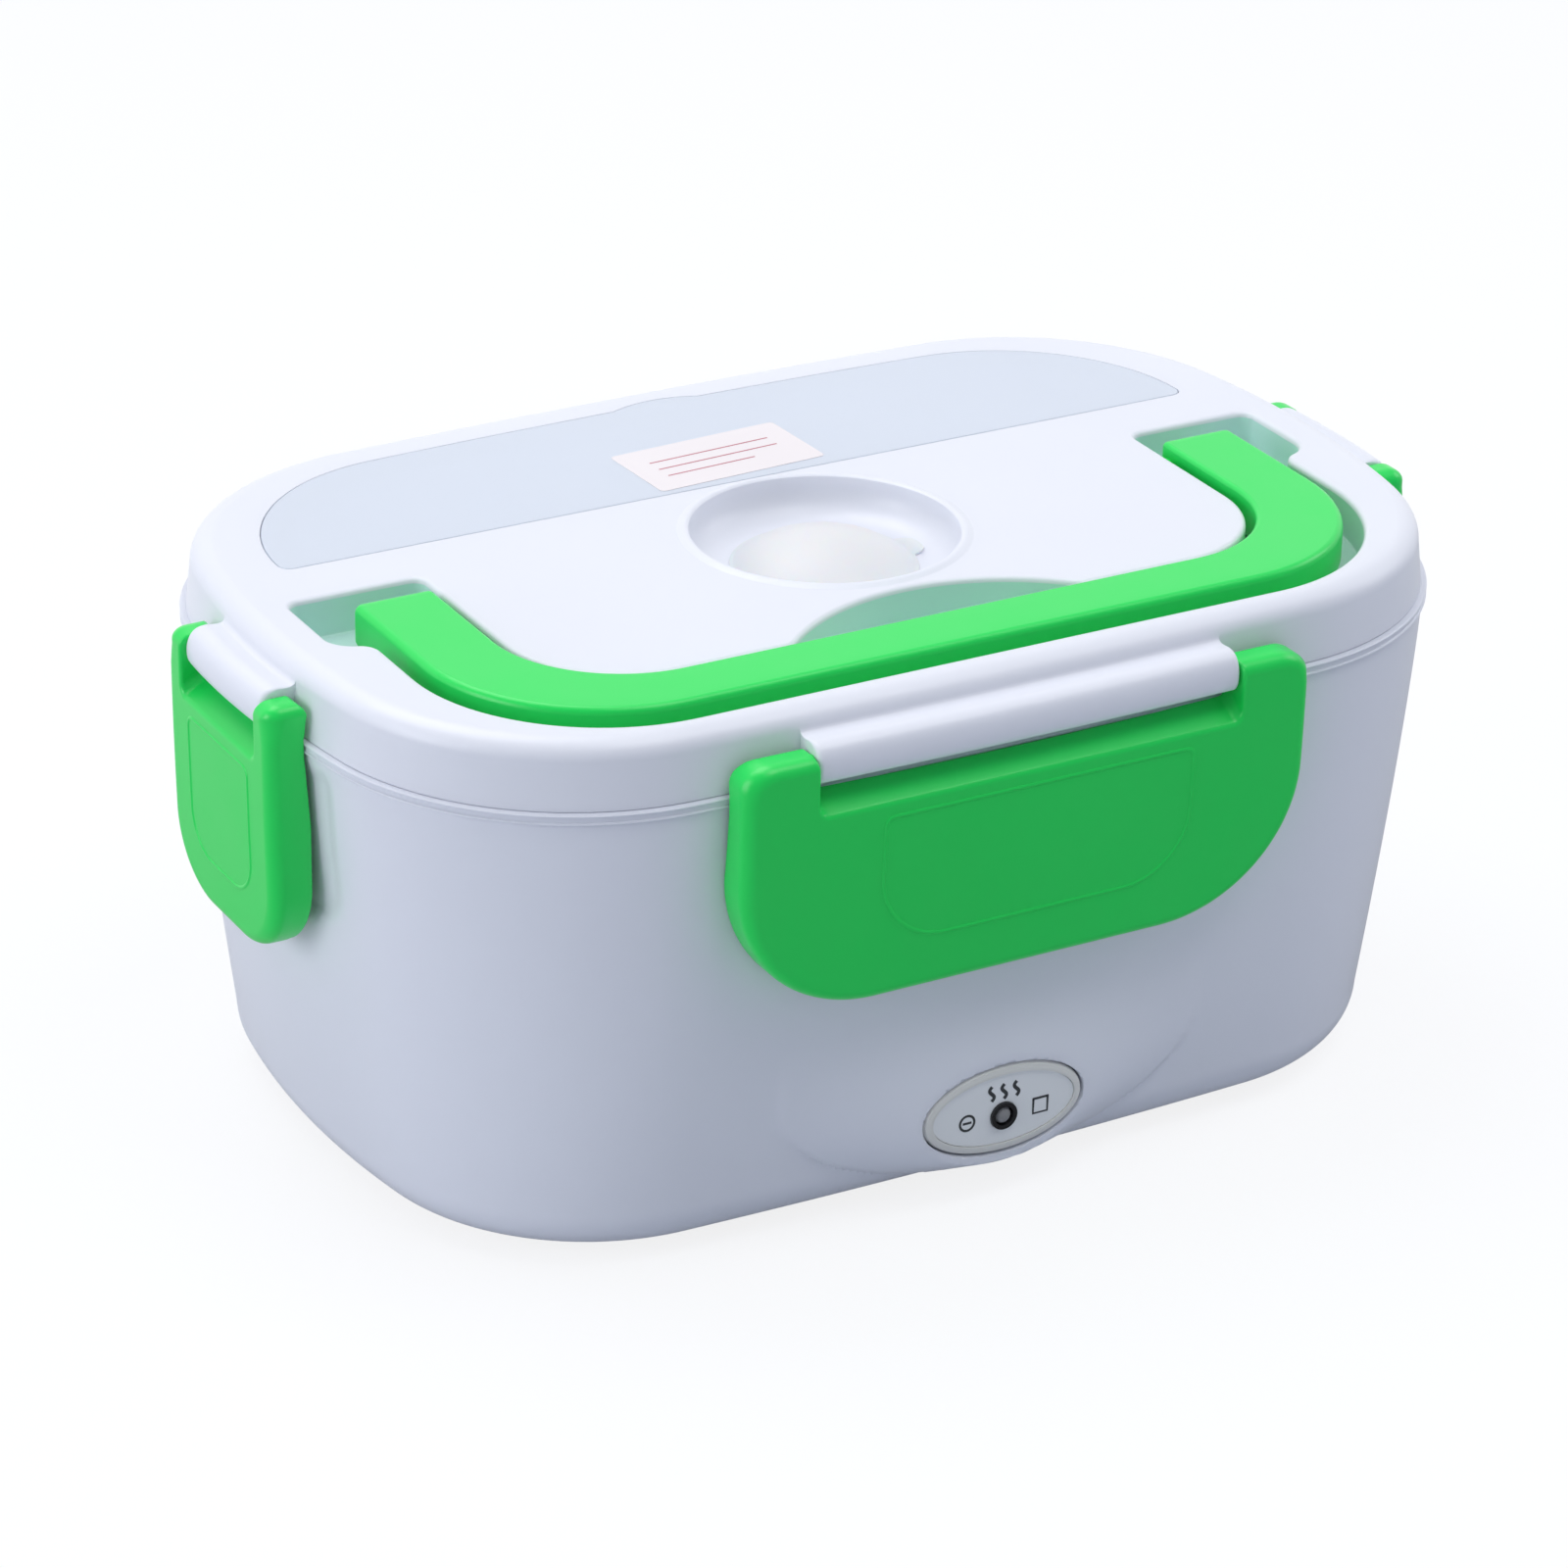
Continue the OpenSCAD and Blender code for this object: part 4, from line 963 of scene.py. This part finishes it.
def latch_mesh(half, ear, low_r, bow, core, end, curve):
    """Points, normals and faces of a latch: the surface where its field is zero."""
    field, z_low, z_top = latch_field(half, ear, low_r, bow, core, end, curve)
    step = 0.42
    lo = np.array([-half - 1.3, -6.8, z_low - 1.3])
    hi = np.array([half + 1.3, FACE_OUT + 1.3, z_top + 1.3])
    count = np.ceil((hi - lo) / step).astype(int) + 1
    axes = [lo[i] + step * np.arange(count[i]) for i in range(3)]
    grid = np.meshgrid(*axes, indexing="ij")
    values = field(*grid).astype(np.float32)
    volume = openvdb.FloatGrid(background=3.0)
    volume.copyFromArray(values)
    points, tris, quads = volume.convertToPolygons(isovalue=0.0, adaptivity=0.0)
    p = np.asarray(points, float) * step + lo
    e = 0.05

    def slope_at(q):
        g = np.empty_like(q)
        for i in range(3):
            d = np.zeros(3)
            d[i] = e
            g[:, i] = (field(*(q + d).T) - field(*(q - d).T)) / (2 * e)
        return g

    # two steps onto the true surface
    for _ in range(2):
        g = slope_at(p)
        size = np.maximum((g * g).sum(1), 0.2)
        move = -(field(*p.T) / size)[:, None] * g
        p = p + np.clip(move, -0.25, 0.25)
    normals = slope_at(p)
    normals /= np.maximum(np.linalg.norm(normals, axis=1), 1e-6)[:, None]
    faces = [tuple(int(i) for i in f[::-1]) for f in quads]
    faces += [tuple(int(i) for i in f[::-1]) for f in tris]
    return p, normals, faces


def panel_line(x0, x1, z0, z1, low_r, high_r):
    """The closed outline around the middle of a latch's face, with outward directions."""
    corners = [arc(x0 + low_r, z0 + low_r, low_r, 180, 270),
               arc(x1 - low_r, z0 + low_r, low_r, 270, 360),
               arc(x1 - high_r, z1 - high_r, high_r, 0, 90, 1, 15),
               arc(x0 + high_r, z1 - high_r, high_r, 90, 180, 1, 15)]
    rows = []
    for k, part in enumerate(corners):
        following = corners[(k + 1) % 4]
        rows.append(part)
        between = np.linspace(0, 1, 8)[1:-1, None]
        rows.append(part[-1] + (following[0] - part[-1]) * between)
    return np.vstack(rows)


def latch_lever(name, made, matrix, reach, ear_scale):
    """Puts a latch on one side of the lid. ear_scale is how high its ears stand."""
    p, normals, faces = made
    local = np.stack([p[:, 0], -(reach + p[:, 1]), p[:, 2]], 1)
    over = np.maximum(local[:, 2] - EAR_FOOT, 0)
    local[:, 2] -= over * (1 - ear_scale)
    world = local @ matrix.T
    spun = np.stack([normals[:, 0], -normals[:, 1], normals[:, 2]], 1) @ matrix.T
    mesh = bpy.data.meshes.new(name)
    mesh.from_pydata((world * MM).tolist(), [], faces)
    mesh.materials.append(green)
    mesh.update()
    signs = np.array([spun[f.vertices[0]] @ np.array(f.normal) for f in mesh.polygons[:400]])
    if np.median(signs) < 0:
        mesh.flip_normals()
    for face in mesh.polygons:
        face.use_smooth = True
    mesh.normals_split_custom_set_from_vertices(spun.tolist())
    piece = bpy.data.objects.new(name, mesh)
    bpy.context.scene.collection.objects.link(piece)
    return piece


def latch_fittings(name, matrix, reach, notch, hook, line, curve):
    """The hinge pins, the bead that snaps under the rib and the fine raised line on the face."""
    t = Shape()
    a = np.linspace(0, 2 * math.pi, 28, endpoint=False)
    for side in (-1, 1):
        t.solid([t.add(np.stack([np.full(28, side * x), -(reach + PIVOT_OUT + r * np.cos(a)),
                                 PIVOT_Z + r * np.sin(a)], 1))
                 for x, r in ((notch + 0.4, 1.3), (notch - 2.7, 1.3), (notch - 3.0, 1.0))])
    # how far out, and height from the rim's top
    bead = [(3.9, -16.8), (1.95, -15.6), (1.75, -15.2), (1.75, -13.9), (2.0, -13.6), (3.9, -13.4)]
    t.solid([t.add([(x, -(reach + u), RIM_Z + z) for u, z in bead]) for x in (-hook, hook)])
    rings = []
    for offset, height in ((-0.48, -0.08), (-0.26, 0.12), (0, 0.2), (0.26, 0.12), (0.48, -0.08)):
        x, z = at(line, offset).T
        rings.append(t.add(np.stack([x, -(reach + latch_face(z, curve) + height), z], 1)))
    t.chain(rings + rings[:1])
    fittings = t.build(name, green, 60, False)
    fittings.data.transform(Matrix(matrix.tolist()).to_4x4())
    return fittings


# Print on the lamp panel

def stroke(shape, points, width, y0, y1):
    """A flat line of one width standing on the panel."""
    p = np.array(points, float)
    d = np.gradient(p, axis=0)
    d /= np.linalg.norm(d, axis=1)[:, None]
    side = np.stack([-d[:, 1], d[:, 0]], 1) * width / 2
    rows = []
    for y in (y0, y1):
        left = shape.add([(x, y, z) for x, z in p + side])
        right = shape.add([(x, y, z) for x, z in p - side])
        rows.append((left, right))
    (l0, r0), (l1, r1) = rows
    shape.bridge(l0, r0, False)
    shape.bridge(l1, r1, False)
    shape.bridge(l0, l1, False)
    shape.bridge(r0, r1, False)
    for k in (0, -1):
        shape.faces.append((l0[k], r0[k], r1[k], l1[k]))


def panel_print():
    """Three heat waves, a ring with a bar and a square, of plain design."""
    s = Shape()

    def put(points, width=0.46):
        stroke(s, points, width, LAMP_Y + 0.02, LAMP_Y - 0.04)

    for k in (-1, 0, 1):
        t = np.linspace(0, 1, 15)
        put(np.stack([k * 2.6 + 0.5 * np.sin(t * 2 * math.pi), LAMP_Z + 2.0 + t * 3.0], 1), 0.7)
    a = np.radians(np.linspace(0, 360, 25))
    put(np.stack([-7.6 + 1.5 * np.cos(a), LAMP_Z - 1.2 + 1.5 * np.sin(a)], 1))
    put([(-8.5, LAMP_Z - 1.2), (-6.7, LAMP_Z - 1.2)])
    put([(6.3, LAMP_Z + 0.3), (6.3, LAMP_Z - 2.7), (9.3, LAMP_Z - 2.7), (9.3, LAMP_Z + 0.3)])
    put([(6.1, LAMP_Z + 0.3), (9.5, LAMP_Z + 0.3)])
    return s.build("panel_marks", ink_mat, 30, False)


# The floor, backdrop and lights

def seen_or_through(tree, add, rays):
    """1 for what the camera sees, straight or through something clear."""
    most = add("Math")
    most.operation = "MAXIMUM"
    tree.links.new(rays.outputs["Is Camera Ray"], most.inputs[0])
    tree.links.new(rays.outputs["Is Transmission Ray"], most.inputs[1])
    return most


def blended(tree, add, share, first, second):
    """A mix of two shaders."""
    mix = add("MixShader")
    for place, output in enumerate((share, first, second)):
        tree.links.new(output, mix.inputs[place])
    return mix


def behind(tree, add, coordinates, low, high, front_value, back_value):
    """A value that rises from front to back along Y."""
    split = add("SeparateXYZ")
    fade = add("MapRange", From_Min=low, From_Max=high, To_Min=front_value, To_Max=back_value)
    tree.links.new(add("TexCoord").outputs[coordinates], split.inputs[0])
    tree.links.new(split.outputs["Y"], fade.inputs["Value"])
    return fade


def backdrop_material():
    """Nearly white to the camera, with a soft shadow; in reflections it is bright only behind."""
    mat = bpy.data.materials.new("studio_floor")
    tree, add = emptied(mat)
    link = tree.links.new
    out = add("OutputMaterial")
    diffuse = add("BsdfPrincipled", Roughness=0.9)
    noise = add("TexNoise", Scale=6)
    mix = add("Mix")
    mix.data_type = "RGBA"
    mix.inputs["A"].default_value = (0.6, 0.63, 0.7, 1)
    mix.inputs["B"].default_value = (0.62, 0.65, 0.72, 1)
    link(noise.outputs["Fac"], mix.inputs["Factor"])
    link(mix.outputs["Result"], diffuse.inputs["Base Color"])
    rays = add("LightPath")
    white_glow = add("Emission", Strength=1.12)
    share = add("Math")
    share.operation = "MULTIPLY"
    share.inputs[1].default_value = 0.75
    link(seen_or_through(tree, add, rays).outputs[0], share.inputs[0])
    seen = blended(tree, add, share.outputs[0], diffuse.outputs[0], white_glow.outputs[0])
    mirror_glow = add("Emission")
    fade = behind(tree, add, "Object", -0.1, 0.3, 0.1, 1.1)
    link(fade.outputs["Result"], mirror_glow.inputs["Strength"])
    blend = blended(tree, add, rays.outputs["Is Glossy Ray"], seen.outputs[0], mirror_glow.outputs[0])
    link(blend.outputs[0], out.inputs[0])
    return mat


def add_stage():
    """The pale floor, a hair below the feet."""
    mesh = bpy.data.meshes.new("floor")
    size = 3.0
    corners = [(-size, -size), (size, -size), (size, size), (-size, size)]
    mesh.from_pydata([(x, y, -0.0001) for x, y in corners], [], [(0, 1, 2, 3)])
    mesh.materials.append(backdrop_material())
    floor = bpy.data.objects.new("floor", mesh)
    bpy.context.scene.collection.objects.link(floor)


def area(name, place, target, size, power, colour):
    """A soft lamp that faces the target."""
    data = bpy.data.lights.new(name, "AREA")
    data.shape = "RECTANGLE"
    data.size, data.size_y = size
    data.energy = power
    data.color = colour
    lamp = bpy.data.objects.new(name, data)
    bpy.context.scene.collection.objects.link(lamp)
    lamp.location = place
    lamp.rotation_euler = (Vector(target) - Vector(place)).to_track_quat("-Z", "Y").to_euler()


def add_lights():
    """A bluish soft surrounding, brighter behind in reflections and white to the camera."""
    world = bpy.data.worlds.new("world")
    bpy.context.scene.world = world
    tree, add = emptied(world)
    link = tree.links.new
    out = add("OutputWorld")
    soft = add("Background", Color=(0.82, 0.88, 1.0, 1), Strength=0.4)
    plain = add("Background", Strength=1.0)
    mirrored_sky = add("Background")
    fade = behind(tree, add, "Generated", -0.3, 0.6, 0.14, 1.3)
    link(fade.outputs["Result"], mirrored_sky.inputs["Strength"])
    rays = add("LightPath")
    seen = seen_or_through(tree, add, rays)
    first = blended(tree, add, seen.outputs[0], soft.outputs[0], plain.outputs[0])
    second = blended(tree, add, rays.outputs["Is Glossy Ray"], first.outputs[0],
                     mirrored_sky.outputs[0])
    link(second.outputs[0], out.inputs[0])
    area("key", (-0.2, 0.5, 1.25), (0, 0, 0.06), (0.9, 0.9), 7.6, (1, 0.99, 0.97))
    area("above", (0.28, -0.4, 1.3), (0, 0, 0.06), (0.8, 0.6), 4.8, (1, 0.99, 0.97))
    area("left", (-1.25, 0.0, 0.42), (0, 0, 0.05), (0.7, 0.7), 5.2, (0.97, 0.98, 1))
    area("right", (1.2, -0.15, 0.7), (0, 0, 0.06), (0.6, 0.6), 2.8, (0.97, 0.98, 1))


# Putting it together

add_camera()
add_stage()
add_lights()

pieces = [
    (outer_shell(), "base", ("outer_shell",), "white_plastic"),
    (catch_ribs(), "base", ("outer_shell",), "white_plastic"),
    (chamber_liner(), "base", ("chamber_liner",), "liner_plastic"),
    (lid_shell(), "lid", ("lid_shell",), "white_plastic"),
    (handle_channel(), "lid", ("lid_shell",), "white_plastic"),
    (spoon_cover(), "spoon_lid", ("spoon_cover",), "cover_plastic"),
    (vent_plug(), "plug", ("vent_plug",), "plug_silicone"),
    (carry_handle(), "handle", ("carry_handle",), "green_plastic"),
    (panel_print(), "base", (), "panel_film"),
]
for label in cover_label():
    pieces.append((label, "spoon_lid", ("cover_label",), "label"))

long_latch = latch_mesh(LATCH_HALF, EAR, 28, BOW_Y, CORE_X, 0, LATCH_CURVE)
short_latch = latch_mesh(SIDE_LATCH_HALF, SIDE_EAR, 15, BOW_X, CORE_Y, END_DRAFT, SIDE_LATCH_CURVE)
long_line = panel_line(-30, 33, TOP - 44.6, TOP - 19.4, 13.5, 1.8)
short_line = panel_line(-12.6, 12.6, TOP - 45.5, TOP - 19.6, 8, 1.8)
long_fit = (LATCH_HALF - EAR, 29, long_line, LATCH_CURVE)
short_fit = (SIDE_LATCH_HALF - SIDE_EAR, 9, short_line, SIDE_LATCH_CURVE)
for side, made, turn, reach, fit, ear_scale in (
        ("front", long_latch, 0.0, HALF_Y, long_fit, 0.58),
        ("back", long_latch, math.pi, HALF_Y, long_fit, 0.5),
        ("left", short_latch, -math.pi / 2, HALF_X, short_fit, 0.68),
        ("right", short_latch, math.pi / 2, HALF_X, short_fit, 0.84)):
    c, s = math.cos(turn), math.sin(turn)
    matrix = np.array([[c, -s, 0], [s, c, 0], [0, 0, 1]])
    node = "latch_" + side
    for piece in (latch_lever(node + "_lever", made, matrix, reach, ear_scale),
                  latch_fittings(node + "_lever_pins", matrix, reach, *fit)):
        pieces.append((piece, side + "_latch", (node,), "green_plastic"))

for piece, body, nodes, slot in pieces:
    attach(piece, body)
    if nodes:
        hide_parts(*nodes)

bpy.context.scene.view_settings.view_transform = "Standard"
